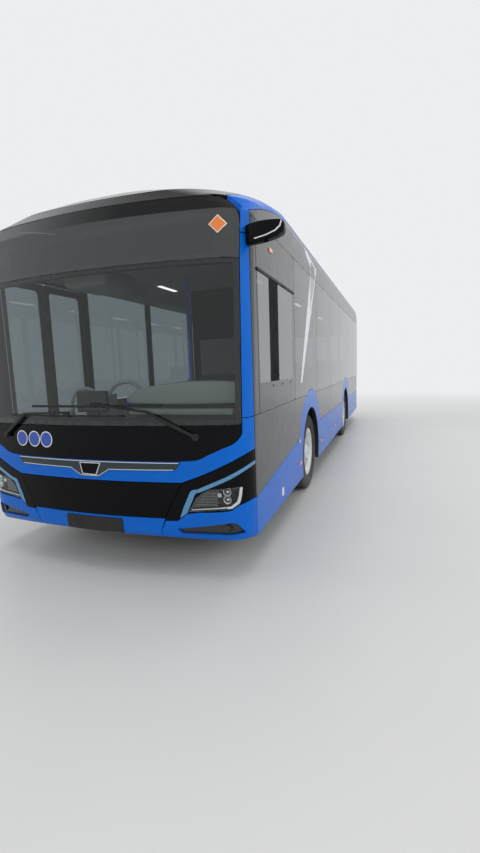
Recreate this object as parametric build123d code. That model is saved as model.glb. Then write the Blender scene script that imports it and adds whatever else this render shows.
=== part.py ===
from build123d import *
import os
from functools import cache
from math import cos, radians, sin, sqrt

# Low-floor electric city bus, 10.5 m class.
# Millimetres. +Z up, the bus faces -Y, +X is its left (driver's) side.
# Origin: on the ground, in the middle of the bus's length and width.

# Driving dimensions: whole vehicle
LENGTH = 10575.0
WIDTH = 2550.0
HEIGHT = 3320.0
FRONT_OVERHANG = 2775.0
WHEELBASE = 4395.0
FLOOR_TOP = 320.0
REAR_FLOOR_TOP = 560.0
ROOF_TOP = 3090.0
SKIRT_BOTTOM = 287.0

# Shell
WALL = 50.0
GLASS = 8.0
SEAM = 6.0
FRONT_BOW = 5000.0
REAR_BOW = 12000.0
LOWER_GLASS_EDGE = 1233.0
UPPER_GLASS_EDGE = 2694.0
CANT_LOW = 3004.0

# Running gear
TYRE_RADIUS = 479.0
TYRE_WIDTH = 276.0
RIM_RADIUS = 286.0
FRONT_WHEEL_X = 1112.0
KINGPIN_X = 905.0
TWIN_OUTER_X = 1107.0
TWIN_SPACING = 318.0
ARCH_RADIUS = 582.0
ARCH_RING_RADIUS = 811.0
WHEEL_BOX_HALF_LENGTH = 630.0
WHEEL_BOX_INNER_X = 585.0
WHEEL_BOX_TOP = 1090.0
SHEET = 15.0
FLOOR_SHEET = 25.0
RUNNING_GAP = 0.3
FRONT_HUB_FACE = 58.0
REAR_HUB_FACE = -96.0
HUB_BACK = 24.0
PIN_RADIUS = 19.0

# Doors: two inward-swinging leaves on turning posts in each doorway
DOOR_OPENING = 1250.0
FRONT_DOOR_START = 410.0
MIDDLE_DOOR_START = 4587.0
DOOR_HEAD = 2540.0
DUCT_LOW = 2560.0
CEILING = 2680.0
LEAF_THICKNESS = 36.0
LEAF_SIDE_GAP = 8.0
LEAF_MIDDLE_GAP = 16.0
LEAF_FLOOR_GAP = 15.0
POST_RADIUS = 18.0
POST_INBOARD = 75.0
POST_FROM_JAMB = 58.0

# Steering wheel and driver's place
DRIVER_X = 560.0
CAB_FLOOR_TOP = 500.0
STEERING_WHEEL_RADIUS = 225.0
STEERING_TILT = 28.0

# Derived places
HALF = WIDTH / 2
FRONT = -LENGTH / 2
REAR = LENGTH / 2
FRONT_AXLE = FRONT + FRONT_OVERHANG
REAR_AXLE = FRONT_AXLE + WHEELBASE
INNER = HALF - WALL
HUB_Z = TYRE_RADIUS
CANT_TOP = ROOF_TOP + 4

# Outer skin as plan outlines at rising heights.
# Columns: z, half width, set back at the front, front corner radius, set in at the rear, rear corner radius
SKIN = (
    (SKIRT_BOTTOM, HALF, 40, 260, 20, 220),
    (357, HALF, 5, 260, 0, 220),
    (480, HALF, 0, 260, 0, 220),
    (905, HALF, 0, 260, 0, 220),
    (2365, HALF, 78, 260, 30, 220),
    (2720, HALF, 120, 270, 45, 225),
    (2840, HALF - 3, 180, 480, 50, 240),
    (2940, HALF - 9, 285, 800, 60, 260),
    (3020, HALF - 29, 430, 1100, 85, 290),
    (3075, HALF - 70, 640, 1150, 130, 330),
    (ROOF_TOP, HALF - 125, 760, 1100, 180, 380),
)
SHOULDER = 2365.0


def back(distance):
    """Y of a place given as its distance behind the front face."""
    return FRONT + distance


def block(x, y, z):
    """Box between the two ends of each range."""
    size = (x[1] - x[0], y[1] - y[0], z[1] - z[0])
    centre = ((x[0] + x[1]) / 2, (y[0] + y[1]) / 2, (z[0] + z[1]) / 2)
    return Pos(*centre) * Box(*size)


def outline(start, *steps):
    """Closed face; a step is (x, y) for a line or (mid x, mid y, x, y) for an arc."""
    edges = []
    here = start
    for step in steps:
        end = step[-2:]
        if len(step) == 4:
            edges.append(Edge.make_three_point_arc(here, step[:2], end))
        else:
            edges.append(Edge.make_line(here, end))
        here = end
    if here != start:
        edges.append(Edge.make_line(here, start))
    return Face(Wire(edges))


def rounded(x, y, radius):
    """Rounded rectangle between the two ends of each range."""
    centre = ((x[0] + x[1]) / 2, (y[0] + y[1]) / 2)
    return Pos(*centre) * RectangleRounded(x[1] - x[0], y[1] - y[0], radius)


def front_prism(face, y):
    """Outline seen from the front (x, z), between two places along Y."""
    plane = Plane(origin=(0, y[1], 0), x_dir=(1, 0, 0), z_dir=(0, -1, 0))
    return extrude(plane * face, amount=y[1] - y[0], dir=plane.z_dir)


def side_prism(face, x):
    """Outline seen from the left (y, z), between two places along X."""
    plane = Plane(origin=(x[0], 0, 0), x_dir=(0, 1, 0), z_dir=(1, 0, 0))
    return extrude(plane * face, amount=x[1] - x[0], dir=plane.z_dir)


def rod(start, end, radius):
    """Round bar between two points."""
    axis = Vector(*end) - Vector(*start)
    standing = (Align.CENTER, Align.CENTER, Align.MIN)
    return Plane(origin=start, z_dir=axis) * Cylinder(radius, axis.length, align=standing)


def both_sides(shape):
    """The shape and its mirror image across the bus's middle plane."""
    return [*shape.solids(), *mirror(shape, about=Plane.YZ).solids()]


def union(shapes):
    """One solid out of touching shapes."""
    first, *others = shapes
    return first.fuse(*others).clean()


def shared(shape, field):
    """Solids of the part of a shape that lies in a field."""
    common = shape & field
    return [] if common is None else common.solids()


def save(name, *shapes):
    """Write one node's solids."""
    solids = [solid for shape in shapes for solid in shape.solids()]
    whole = solids[0] if len(solids) == 1 else Compound(solids)
    export_step(whole, f"parts/{name}.step")


def corner_points(half_width, face_y, bow, corner, towards):
    """End of the bow arc, middle of the corner arc and start of the side line."""
    centre_x = half_width - corner
    centre_y = face_y + towards * (bow - sqrt((bow - corner) ** 2 - centre_x**2))
    bow_centre_y = face_y + towards * bow
    reach = bow / (bow - corner)
    bow_end = (centre_x * reach, bow_centre_y + (centre_y - bow_centre_y) * reach)
    middle_x = bow_end[0] + half_width - 2 * centre_x
    middle_y = bow_end[1] + centre_y - 2 * centre_y
    length = sqrt(middle_x**2 + middle_y**2)
    middle = (centre_x + corner * middle_x / length, centre_y + corner * middle_y / length)
    return bow_end, middle, (half_width, centre_y)


def plan_wire(z, half_width, front_back, front_corner, rear_in, rear_corner, inward):
    """One plan outline of the skin, moved inward by a wall's thickness."""
    half = half_width - inward
    front_y = FRONT + front_back + inward
    rear_y = REAR - rear_in - inward
    bow_f, mid_f, side_f = corner_points(half, front_y, FRONT_BOW - inward, front_corner - inward, 1)
    bow_r, mid_r, side_r = corner_points(half, rear_y, REAR_BOW - inward, rear_corner - inward, -1)

    def at(point, side=1):
        return (side * point[0], point[1], z)

    edges = [
        Edge.make_three_point_arc(at(bow_f, -1), (0, front_y, z), at(bow_f)),
        Edge.make_three_point_arc(at(bow_f), at(mid_f), at(side_f)),
        Edge.make_line(at(side_f), at(side_r)),
        Edge.make_three_point_arc(at(side_r), at(mid_r), at(bow_r)),
        Edge.make_three_point_arc(at(bow_r), (0, rear_y, z), at(bow_r, -1)),
        Edge.make_three_point_arc(at(bow_r, -1), at(mid_r, -1), at(side_r, -1)),
        Edge.make_line(at(side_r, -1), at(side_f, -1)),
        Edge.make_three_point_arc(at(side_f, -1), at(mid_f, -1), at(bow_f, -1)),
    ]
    return Wire(edges)


@cache
def skin(inward):
    """Solid inside the outer skin moved inward; the roof drops by the same amount."""
    wires = []
    for z, *rest in SKIN:
        drop = max(0.0, (z - SHOULDER) / (ROOF_TOP - SHOULDER)) * inward
        wires.append(plan_wire(z - drop, *rest, inward))
    return Solid.make_loft(wires, True)


OUTER = skin(0)
SHELL = OUTER - skin(WALL)
PANE = OUTER - skin(GLASS)
INSIDE = skin(WALL)
EVERYWHERE_Y = (FRONT - 100, REAR + 100)
EVERYWHERE_X = (-HALF - 100, HALF + 100)
FRONT_ZONE_Y = (FRONT - 100, back(600))

# Line where the front mask meets the sides, in side view (y, z), and half a seam each way
MASK_EDGE = ((back(338), 0), (back(338), 990), (back(368), 2340), (back(405), 2729))


def mask_side(gap):
    """Side-view outline of all that lies ahead of the mask's edge, moved by a gap."""
    points = [(y + gap, z) for y, z in MASK_EDGE]
    return outline((FRONT - 200, 0), *points, (points[-1][0] + 8, 3400), (FRONT - 200, 3400))


AHEAD = side_prism(mask_side(-SEAM / 2), EVERYWHERE_X)
AHEAD_WITH_SEAM = side_prism(mask_side(SEAM / 2), EVERYWHERE_X)
FRONT_SHELL = SHELL & AHEAD
FRONT_PANE = PANE & AHEAD

# Front mask: outlines seen from the front (x, z), right half drawn, both halves built
MASK_HALF_X = 1213.0
MASK_SIDE = MASK_HALF_X + 4
BUMPER_TOP = 472.0
GRILLE_TOP = 752.0
GRILLE_TOP_HALF = 772.0
GRILLE_LOW_HALF = 627.0
PANEL_TOP = 917.0
WIPER_PANEL_TOP = 1186.0
SCREEN_TOP = 2376.0
DISPLAY_TOP = 2838.0
PILLAR_LOW = 1235.0
PILLAR_HIGH = 2560.0


def front_pieces(body, face, y=FRONT_ZONE_Y):
    """Cut of a front body by an outline on the left half and its mirror image."""
    return both_sides(body & front_prism(face, y))


def front_panel():
    """Body-coloured band below the screen, and the pillars beside the screen."""
    upper = (
        (MASK_SIDE, PILLAR_LOW - SEAM),
        (MASK_SIDE, 1120),
        (1204, 1090, 1153, 1039),
        (1085, 1013),
        (975, 963),
        (930, 940, 869, 925),
        (731, PANEL_TOP),
    )
    face = outline(
        (0, GRILLE_TOP + SEAM),
        (GRILLE_TOP_HALF, GRILLE_TOP + SEAM),
        (1035, 862, 1300, 1000),
        (1300, PILLAR_LOW - SEAM),
        *upper,
        (0, PANEL_TOP),
    )
    pillar = outline(
        (MASK_SIDE, PILLAR_LOW),
        (1300, PILLAR_LOW),
        (1300, PILLAR_HIGH - SEAM),
        (MASK_SIDE, PILLAR_HIGH - SEAM),
    )
    half = FRONT_SHELL & front_prism(face, FRONT_ZONE_Y)
    save("front_panel", union(both_sides(half)), *front_pieces(FRONT_SHELL, pillar))


# Headlamp and its light strip, seen from the front
LAMP = (
    (814, 529),
    (904, 536),
    (1020, 543, 1139, 552),
    (1193, 592, 1205, 650),
    (1211, 720),
    (1010, 708),
    (970, 700, 932, 682),
    (878, 640),
)


def lamp_group():
    """Surround, light strip, lamp tub and lens on each side."""
    whole = outline(
        (GRILLE_TOP_HALF + SEAM, GRILLE_TOP),
        (1035, 854, 1300, 992),
        (1300, 612),
        (1271, 608),
        (1191, 582),
        (1139, 548),
        (1020, 537, 904, 533),
        (804, 521),
        (746, 478),
        (729, 464),
        (GRILLE_LOW_HALF + 14, 460),
        (GRILLE_LOW_HALF + SEAM, BUMPER_TOP + SEAM),
        (697 + SEAM, 620, GRILLE_TOP_HALF + SEAM, GRILLE_TOP),
    )
    strip = outline(
        (749, 482),
        (782, 570),
        (826, 665),
        (846, 696, 889, 706),
        (1064, 782),
        (1180, 838, 1290, 905),
        (1290, 880),
        (1180, 808, 1062, 750),
        (911, 685),
        (880, 676, 862, 645),
        (832, 580),
        (806, 523),
    )
    lamp = outline(*LAMP)
    lamp_hole = offset(lamp, amount=4, kind=Kind.INTERSECTION)
    surround = FRONT_SHELL & front_prism(whole, FRONT_ZONE_Y)
    surround -= front_prism(lamp_hole, FRONT_ZONE_Y)
    strips = (OUTER - skin(20)) & AHEAD & front_prism(strip, FRONT_ZONE_Y)
    surround -= strips
    save("lamp_surrounds", *both_sides(surround))
    save("light_strips", *both_sides(strips))
    lens = FRONT_PANE & front_prism(lamp, FRONT_ZONE_Y)
    save("headlamp_lenses", *both_sides(lens))
    deep = (skin(GLASS) - skin(150)) & AHEAD
    tub = deep & front_prism(lamp, FRONT_ZONE_Y)
    hollow = offset(lamp, amount=-12, kind=Kind.INTERSECTION)
    tub -= (skin(GLASS - 1) - skin(120)) & front_prism(hollow, FRONT_ZONE_Y)
    barrel_layer = skin(GLASS + 14) - skin(121)
    barrels = [Pos(1108, back(165), z) * Rot(90, 0, 0) * Cylinder(27, 170) & barrel_layer for z in (685, 624)]
    tub = union([tub, *barrels])
    save("headlamps", *both_sides(tub))


def front_bumper():
    """Three-piece bumper with the fog-lamp recesses and the blank plate's holder."""
    seam_line = ((GRILLE_LOW_HALF, 461), (590, 375), (604, 250))
    top_corner = (
        (729, 457),
        (746, 470),
        (804, 514),
        (904, 526),
        (1020, 530, 1139, 541),
        (1191, 576),
        (1273, 603),
        (1300, 600),
    )
    corner_face = outline(
        (seam_line[0][0] + SEAM, seam_line[0][1] - 7),
        *top_corner,
        (1300, 250),
        (seam_line[2][0] + SEAM, seam_line[2][1]),
        (seam_line[1][0] + SEAM, seam_line[1][1]),
    )
    centre_face = outline(
        (-GRILLE_LOW_HALF, BUMPER_TOP),
        (-seam_line[1][0], seam_line[1][1]),
        (-seam_line[2][0], seam_line[2][1]),
        (seam_line[2][0], seam_line[2][1]),
        (seam_line[1][0], seam_line[1][1]),
        (GRILLE_LOW_HALF, BUMPER_TOP),
    )
    under = outline((-1400, 200), (1400, 200), (1400, 280), (1275, 289), (0, 330, -1275, 289), (-1400, 280))
    bumper_shell = FRONT_SHELL - front_prism(under, (FRONT - 100, back(330)))
    fog = outline(
        (718, 395),
        (936, 420),
        (1136, 448),
        (1175, 434),
        (1222, 354),
        (1134, 346),
        (1056, 352),
        (756, 357),
    )
    fog_body = (OUTER - skin(WALL + 10)) & front_prism(fog, FRONT_ZONE_Y)
    corner = (bumper_shell & front_prism(corner_face, FRONT_ZONE_Y)) - fog_body
    centre = bumper_shell & front_prism(centre_face, FRONT_ZONE_Y)
    save("front_bumper", centre, *both_sides(corner))
    inset = skin(24) - skin(WALL)
    panel = inset & front_prism(fog, FRONT_ZONE_Y)
    barrel = Pos(1105, back(150), 396) * Rot(90, 0, 0) * Cylinder(33, 120)
    lamp = barrel & (skin(10) - skin(WALL))
    save("fog_lamps", *both_sides(union([panel, lamp])))
    plate = rounded((-268, 268), (333, 456), 12)
    holder = (skin(-7) - OUTER) & front_prism(plate, FRONT_ZONE_Y)
    save("plate_holder", holder)


def front_trim():
    """Bright strip under the screen with the bare badge place in its middle."""
    face = outline(
        (-775, PANEL_TOP - 4),
        (-728, 852),
        (-180, 845),
        (-84, 788),
        (84, 788),
        (180, 845),
        (728, 852),
        (775, PANEL_TOP - 4),
    )
    save("front_trim", (skin(-6) - OUTER) & front_prism(face, FRONT_ZONE_Y))


def front_glass():
    """Gloss panels between the lamps and under the screen, windscreen and display glass."""
    grille_face = outline(
        (-GRILLE_TOP_HALF, GRILLE_TOP),
        (-697, 620, -GRILLE_LOW_HALF, BUMPER_TOP + SEAM),
        (GRILLE_LOW_HALF, BUMPER_TOP + SEAM),
        (697, 620, GRILLE_TOP_HALF, GRILLE_TOP),
    )
    grille = FRONT_SHELL & front_prism(grille_face, FRONT_ZONE_Y)
    wiper_face = outline(
        (0, PANEL_TOP + 4),
        (731, PANEL_TOP + 4),
        (869, 929),
        (930, 944, 975, 967),
        (1085, 1017),
        (1153, 1043),
        (1200, 1092, MASK_HALF_X, 1122),
        (MASK_HALF_X, WIPER_PANEL_TOP),
        (0, WIPER_PANEL_TOP),
    )
    half = FRONT_SHELL & front_prism(wiper_face, FRONT_ZONE_Y)
    save("front_gloss_panels", grille, union(both_sides(half)))
    screen = rounded((-MASK_HALF_X, MASK_HALF_X), (WIPER_PANEL_TOP + 4, SCREEN_TOP - 3), 3)
    save("windscreen", FRONT_PANE & front_prism(screen, FRONT_ZONE_Y))
    display = outline(
        (-MASK_HALF_X, SCREEN_TOP + 3),
        (MASK_HALF_X, SCREEN_TOP + 3),
        (MASK_HALF_X, 2640),
        (1165, 2755, 1037, 2822),
        (0, DISPLAY_TOP, -1037, 2822),
        (-1165, 2755, -MASK_HALF_X, 2640),
    )
    save("display_glass", PANE & AHEAD & front_prism(display, FRONT_ZONE_Y))
    return display


FRAME_SHEET = 16.0
SCREEN_FRAME_X = 1175.0
# Where the frame is welded up from its lengths, across and upward
FRAME_PLACES_X = (-1400, -SCREEN_FRAME_X, -850, 0, 850, SCREEN_FRAME_X, 1400)
FRAME_PLACES_Z = (CAB_FLOOR_TOP - 100, WIPER_PANEL_TOP, WIPER_PANEL_TOP + 40, SCREEN_TOP - 32, 2420, 3000)


def mask_frame(display):
    """Structure behind the mask: a plate below the screen, and bars round both front glasses."""
    reach = side_prism(mask_side(30), EVERYWHERE_X)
    lamp = front_prism(outline(*LAMP), FRONT_ZONE_Y)
    layer = (skin(WALL) - skin(WALL + FRAME_SHEET)) & reach
    plate = layer & block(EVERYWHERE_X, (FRONT, back(600)), (CAB_FLOOR_TOP, PILLAR_LOW + 5))
    plate = plate - lamp - mirror(lamp, about=Plane.YZ)
    depth = (skin(GLASS) - skin(WALL + FRAME_SHEET)) & AHEAD
    bar_y = (FRONT - 100, back(372))
    bars = [
        block((-MASK_SIDE, MASK_SIDE), bar_y, (WIPER_PANEL_TOP, WIPER_PANEL_TOP + 40)),
        block((-MASK_SIDE, MASK_SIDE), bar_y, (SCREEN_TOP - 32, SCREEN_TOP + 36)),
        block((SCREEN_FRAME_X, MASK_SIDE), bar_y, (WIPER_PANEL_TOP, 2640)),
        block((-MASK_SIDE, -SCREEN_FRAME_X), bar_y, (WIPER_PANEL_TOP, 2640)),
    ]
    round_glass = [depth & bar for bar in bars]
    grown = front_prism(offset(display, amount=4, kind=Kind.INTERSECTION), bar_y)
    inner = front_prism(offset(display, amount=-30, kind=Kind.INTERSECTION), bar_y)
    round_glass.append((skin(GLASS) - skin(WALL)) & AHEAD & (grown - inner))
    frame = union([plate, *round_glass])
    fields = [
        block(x, FRONT_ZONE_Y, z)
        for x in zip(FRAME_PLACES_X, FRAME_PLACES_X[1:])
        for z in zip(FRAME_PLACES_Z, FRAME_PLACES_Z[1:])
    ]
    save("mask_frame", *[piece for field in fields for piece in shared(frame, field)])


# Cant rail: side-view outline (y, z) of the body-coloured band that sweeps back from the pillar
BAND_END = 1700.0


def band_face(grow):
    """Side-view outline of the cant rail from the pillar to the tail, grown by a gap."""
    return outline(
        (back(300), PILLAR_HIGH + 2 - grow),
        (back(388) + grow, PILLAR_HIGH + 2 - grow),
        (back(405) + grow, 2735 - grow),
        (back(890), 2872 - grow, back(BAND_END), CANT_LOW - grow),
        (REAR - 285 + grow, CANT_LOW - grow),
        (REAR - 285 + grow, CANT_TOP),
        (back(1560), CANT_TOP),
        (back(930), 3005 + grow, back(379), 2850 + grow),
        (back(300), 2850 + grow),
    )


def over_band(grow):
    """Side-view outline of all that lies above the cant rail's lower edge."""
    return outline(
        (back(300), PILLAR_HIGH + 2 - grow),
        (back(388) + grow, PILLAR_HIGH + 2 - grow),
        (back(405) + grow, 2735 - grow),
        (back(890), 2872 - grow, back(BAND_END), CANT_LOW - grow),
        (REAR + 200, CANT_LOW - grow),
        (REAR + 200, 3400),
        (back(300), 3400),
    )


def cant_rails():
    """Rail along each top edge."""
    side = HALF - 170
    front_part = block((MASK_SIDE, HALF + 50), (FRONT, back(379)), (PILLAR_HIGH, CANT_TOP))
    rear_part = block((side, HALF + 50), (back(379), REAR), (PILLAR_HIGH, CANT_TOP))
    keep = front_part.fuse(rear_part)
    rail = SHELL & side_prism(band_face(0), (0, HALF + 50)) & keep
    joint_y = back(BAND_END)
    lengths = [
        rail & block((0, HALF + 100), y, (PILLAR_HIGH - 100, HEIGHT))
        for y in ((FRONT - 100, joint_y), (joint_y, REAR + 100))
    ]
    save("cant_rails", *[piece for length in lengths for piece in both_sides(length)])


def front_dome(display):
    """Black dome between the display glass and the roof."""
    piece = SHELL & block(EVERYWHERE_X, (FRONT - 50, back(1560)), (SCREEN_TOP + 3, CANT_TOP + 50))
    piece -= side_prism(band_face(3), EVERYWHERE_X)
    piece -= front_prism(offset(display, amount=4, kind=Kind.INTERSECTION), FRONT_ZONE_Y)
    save("front_dome", max(piece.solids(), key=lambda solid: solid.volume))


# Roof bows between ceiling and roof, as distances behind the front
ROOF_BOWS = (1000, 1562, 2600, 3700, 4800, 5900, 7000, 8100, 9200, 10100)


def roof():
    """Roof skin, ceiling with side ducts, and the roof equipment behind its fairings."""
    side = HALF - 170 - 3
    skin_piece = SHELL & block((-side, side), (back(1564), REAR - 285 - SEAM), (2900, ROOF_TOP + 50))
    save("roof", skin_piece)
    top = CEILING + 50
    duct = outline(
        (980, DUCT_LOW),
        (900, DUCT_LOW + 15, 760, CEILING),
        (760, top),
        (INNER + 10, top),
        (INNER + 10, DUCT_LOW),
    )
    panel = outline((-760, CEILING), (760, CEILING), (760, top), (-760, top))
    y = (back(400), REAR - 150)
    ceiling = [*both_sides(INSIDE & front_prism(duct, y)), INSIDE & front_prism(panel, y)]
    bow_layer = INSIDE - skin(WALL + 30)
    bows = [
        bow_layer & block(EVERYWHERE_X, (back(place) - 25, back(place) + 25), (top, ROOF_TOP))
        for place in ROOF_BOWS
    ]
    save("ceiling", *ceiling, *bows)


FAIRING_HALF = 1020.0
FAIRING_START = 1900.0
FAIRING_END = 9700.0
# Roof equipment. Columns: distance behind the front, length, half width, height
ROOF_UNITS = (
    (2150, 1500, 860, 205),
    (3750, 1500, 860, 205),
    (5350, 2050, 780, 220),
    (7500, 1950, 860, 205),
)


def roof_equipment():
    """Side fairings with rounded ends, battery packs and the climate unit between them."""
    wall_face = outline(
        (back(FAIRING_START), ROOF_TOP),
        (back(FAIRING_START + 250), ROOF_TOP + 170, back(FAIRING_START + 620), HEIGHT),
        (back(FAIRING_END - 250), HEIGHT),
        (back(FAIRING_END - 65), ROOF_TOP + 160, back(FAIRING_END), ROOF_TOP),
    )
    wall = side_prism(wall_face, (FAIRING_HALF - 40, FAIRING_HALF))
    save("roof_fairings", *both_sides(wall))
    units = []
    for start, length, half, height in ROOF_UNITS:
        unit = block((-half, half), (back(start), back(start + length)), (ROOF_TOP, ROOF_TOP + height))
        edges = unit.edges().filter_by(Axis.Z)
        units.append(fillet(edges, 40))
    save("roof_units", *units)


# Side glazing and panels. Distances behind the front, one pane to a row.
DRIVER_PANE = (480.0, 1745.0)
LEFT_PANES_START = 1835.0
PANES_END = LENGTH - 330.0
LEFT_PANES = 6
PANE_GAP = 10.0
PILLAR_WIDTH = 90.0
RIGHT_AFTER_FRONT_DOOR = FRONT_DOOR_START + DOOR_OPENING + 70
RIGHT_BEFORE_MIDDLE_DOOR = MIDDLE_DOOR_START - 70
RIGHT_AFTER_MIDDLE_DOOR = MIDDLE_DOOR_START + DOOR_OPENING + 70


def split(start, end, count):
    """Equal panes between two places, as (start, end) pairs with no gap."""
    step = (end - start) / count
    return [(start + step * i, start + step * (i + 1)) for i in range(count)]


LEFT_ROWS = split(LEFT_PANES_START, PANES_END, LEFT_PANES)
RIGHT_ROWS = split(RIGHT_AFTER_FRONT_DOOR, RIGHT_BEFORE_MIDDLE_DOOR, 2)
RIGHT_ROWS += split(RIGHT_AFTER_MIDDLE_DOOR, PANES_END, 3)
DOORWAYS = (
    (FRONT_DOOR_START, FRONT_DOOR_START + DOOR_OPENING),
    (MIDDLE_DOOR_START, MIDDLE_DOOR_START + DOOR_OPENING),
)


def skirt_line(grow):
    """Side-view outline below the skirt's top edge, moved up by a gap."""
    return outline(
        (back(0), 200),
        (back(0), 596 + grow),
        (back(375), 596 + grow),
        (back(1890), 759 + grow),
        (back(2300), 807 + grow),
        (REAR, 807 + grow),
        (REAR, 200),
    )


def disc(axle_y, radius, x=EVERYWHERE_X):
    """Round bar along X about an axle's wheels."""
    face = Pos(axle_y, HUB_Z) * Circle(radius)
    return side_prism(face, x)


def doorway_cuts():
    """Boxes that clear both doorways, above the sill."""
    x = (-HALF - 50, -HALF + 200)
    return [block(x, (back(start), back(end)), (FLOOR_TOP, DOOR_HEAD)) for start, end in DOORWAYS]


def side_zone(x_side):
    """Shell of one side, behind the mask and ahead of the rear wall."""
    x = (900, HALF + 100) if x_side > 0 else (-HALF - 100, -900)
    zone = SHELL & block(x, (FRONT, REAR - 285 - SEAM), (SKIRT_BOTTOM - 5, CANT_LOW + 40))
    return zone - AHEAD_WITH_SEAM


LEFT_ZONE = side_zone(1)
RIGHT_ZONE = side_zone(-1)
SKIRT_SPLITS = (1966.0, 4700.0, 5700.0, 8950.0)


# Corners of the wedges that divide a panel about a wheel's centre, as (y, z)
FAR = 2 * LENGTH
WEDGES = (
    ((FAR, 0), (FAR, FAR)),
    ((FAR, FAR), (0, FAR)),
    ((0, FAR), (-FAR, FAR)),
    ((-FAR, FAR), (-FAR, 0)),
    ((-FAR, 0), (-FAR, -FAR), (0, -FAR)),
    ((0, -FAR), (FAR, -FAR), (FAR, 0)),
)


def plain_lengths(panel):
    """The panel whole, or in wedges about each wheel that it goes round."""
    pieces = [panel]
    for axle_y in (FRONT_AXLE, REAR_AXLE):
        divided = []
        for piece in pieces:
            box = piece.bounding_box()
            if not box.min.Y < axle_y < box.max.Y:
                divided.append(piece)
                continue
            for corners in WEDGES:
                points = [(axle_y + y, HUB_Z + z) for y, z in corners]
                divided += shared(piece, side_prism(outline((axle_y, HUB_Z), *points), EVERYWHERE_X))
        pieces = divided
    return pieces


def skirts():
    """Body-coloured skirts with the raised rings round the wheel arches."""
    rings = disc(FRONT_AXLE, ARCH_RING_RADIUS) + disc(REAR_AXLE, ARCH_RING_RADIUS)
    holes = disc(FRONT_AXLE, ARCH_RADIUS) + disc(REAR_AXLE, ARCH_RADIUS)
    region = side_prism(skirt_line(0), EVERYWHERE_X)
    solids = []
    for zone in (LEFT_ZONE, RIGHT_ZONE):
        low = (zone & region) + (zone & rings)
        low = low - holes
        if zone is RIGHT_ZONE:
            for cut in doorway_cuts():
                low -= cut
        for place in SKIRT_SPLITS:
            y = (back(place) - 2, back(place) + 2)
            low -= block(EVERYWHERE_X, y, (200, 1300))
        for panel in low.solids():
            solids += plain_lengths(panel)
    save("skirt_panels", *solids)


def side_panels():
    """Dark panels between skirt and glass, and above the glass."""
    region = side_prism(skirt_line(4), EVERYWHERE_X)
    rings = disc(FRONT_AXLE, ARCH_RING_RADIUS + 4) + disc(REAR_AXLE, ARCH_RING_RADIUS + 4)
    lower = []
    upper = []
    band = side_prism(over_band(4), EVERYWHERE_X)
    for zone, rows in ((LEFT_ZONE, LEFT_ROWS), (RIGHT_ZONE, RIGHT_ROWS)):
        low = zone & block(EVERYWHERE_X, EVERYWHERE_Y, (550, LOWER_GLASS_EDGE))
        low = low - region - rings
        high = zone & block(EVERYWHERE_X, EVERYWHERE_Y, (UPPER_GLASS_EDGE + 4, CANT_LOW + 40))
        high -= band
        if zone is RIGHT_ZONE:
            for cut in doorway_cuts():
                low -= cut
        for start, _ in rows[1:]:
            if abs(start - FRONT_OVERHANG) > ARCH_RING_RADIUS:
                low -= block(EVERYWHERE_X, (back(start) - 2, back(start) + 2), (550, 1300))
        for panel in low.solids():
            lower += plain_lengths(panel)
        upper += high.solids()
    corner_z = (LOWER_GLASS_EDGE + 4, UPPER_GLASS_EDGE)
    corner = LEFT_ZONE & block((900, HALF + 50), (FRONT, back(DRIVER_PANE[0])), corner_z)
    ledge = block((INNER, HALF - GLASS), (back(DRIVER_PANE[0]) - 5, back(DRIVER_PANE[0] + 45)), corner_z)
    upper.append(union([corner, ledge]))
    save("lower_side_panels", *lower)
    save("upper_side_panels", *upper)


def side_glazing():
    """Panes bonded outside the pillars, flush with the panels."""
    panes = []
    pillars = []
    rings = disc(FRONT_AXLE, ARCH_RING_RADIUS + 4) + disc(REAR_AXLE, ARCH_RING_RADIUS + 4)
    z = (LOWER_GLASS_EDGE + 4, UPPER_GLASS_EDGE)
    pane_x = (HALF - GLASS, HALF)
    pillar_x = (INNER, HALF - GLASS)
    for side, rows in ((1, [DRIVER_PANE, *LEFT_ROWS]), (-1, RIGHT_ROWS)):
        for start, end in rows:
            y = (back(start) + PANE_GAP / 2, back(end) - PANE_GAP / 2)
            face = rounded(y, z, 18)
            x = pane_x if side > 0 else (-pane_x[1], -pane_x[0])
            panes.append(side_prism(face, x) - rings)
        edges = sorted({place for row in rows for place in row})
        for place in edges:
            near_door = side < 0 and any(abs(place - end) < 80 for row in DOORWAYS for end in row)
            half = PILLAR_WIDTH / 2
            if near_door or place == DRIVER_PANE[0]:
                continue
            x = pillar_x if side > 0 else (-pillar_x[1], -pillar_x[0])
            y = (back(place) - half, back(place) + half)
            pillars.append(block(x, y, (LOWER_GLASS_EDGE, UPPER_GLASS_EDGE + 4)) - rings)
    save("side_glass", *panes)
    return pillars


def door_frames(pillars):
    """Window pillars and the posts and heads of the doorways."""
    band = side_prism(over_band(4), EVERYWHERE_X)
    for start, end in DOORWAYS:
        for y0, y1 in ((start - 64, start), (end, end + 64)):
            post = block(EVERYWHERE_X, (back(y0), back(y1)), (LOWER_GLASS_EDGE, DOOR_HEAD))
            pillars.append(RIGHT_ZONE & post)
        head_z = (DOOR_HEAD, UPPER_GLASS_EDGE + 4)
        head = RIGHT_ZONE & block(EVERYWHERE_X, (back(start - 64), back(end + 64)), head_z)
        pillars.append(head - band)
    save("window_pillars", *pillars)


BULKHEAD_Y = REAR - 600
SHELF_TOP = 1420.0
DECK_START = 1150.0
CAB_INNER_X = 330.0


AXLE_WAY = 170.0


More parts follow.
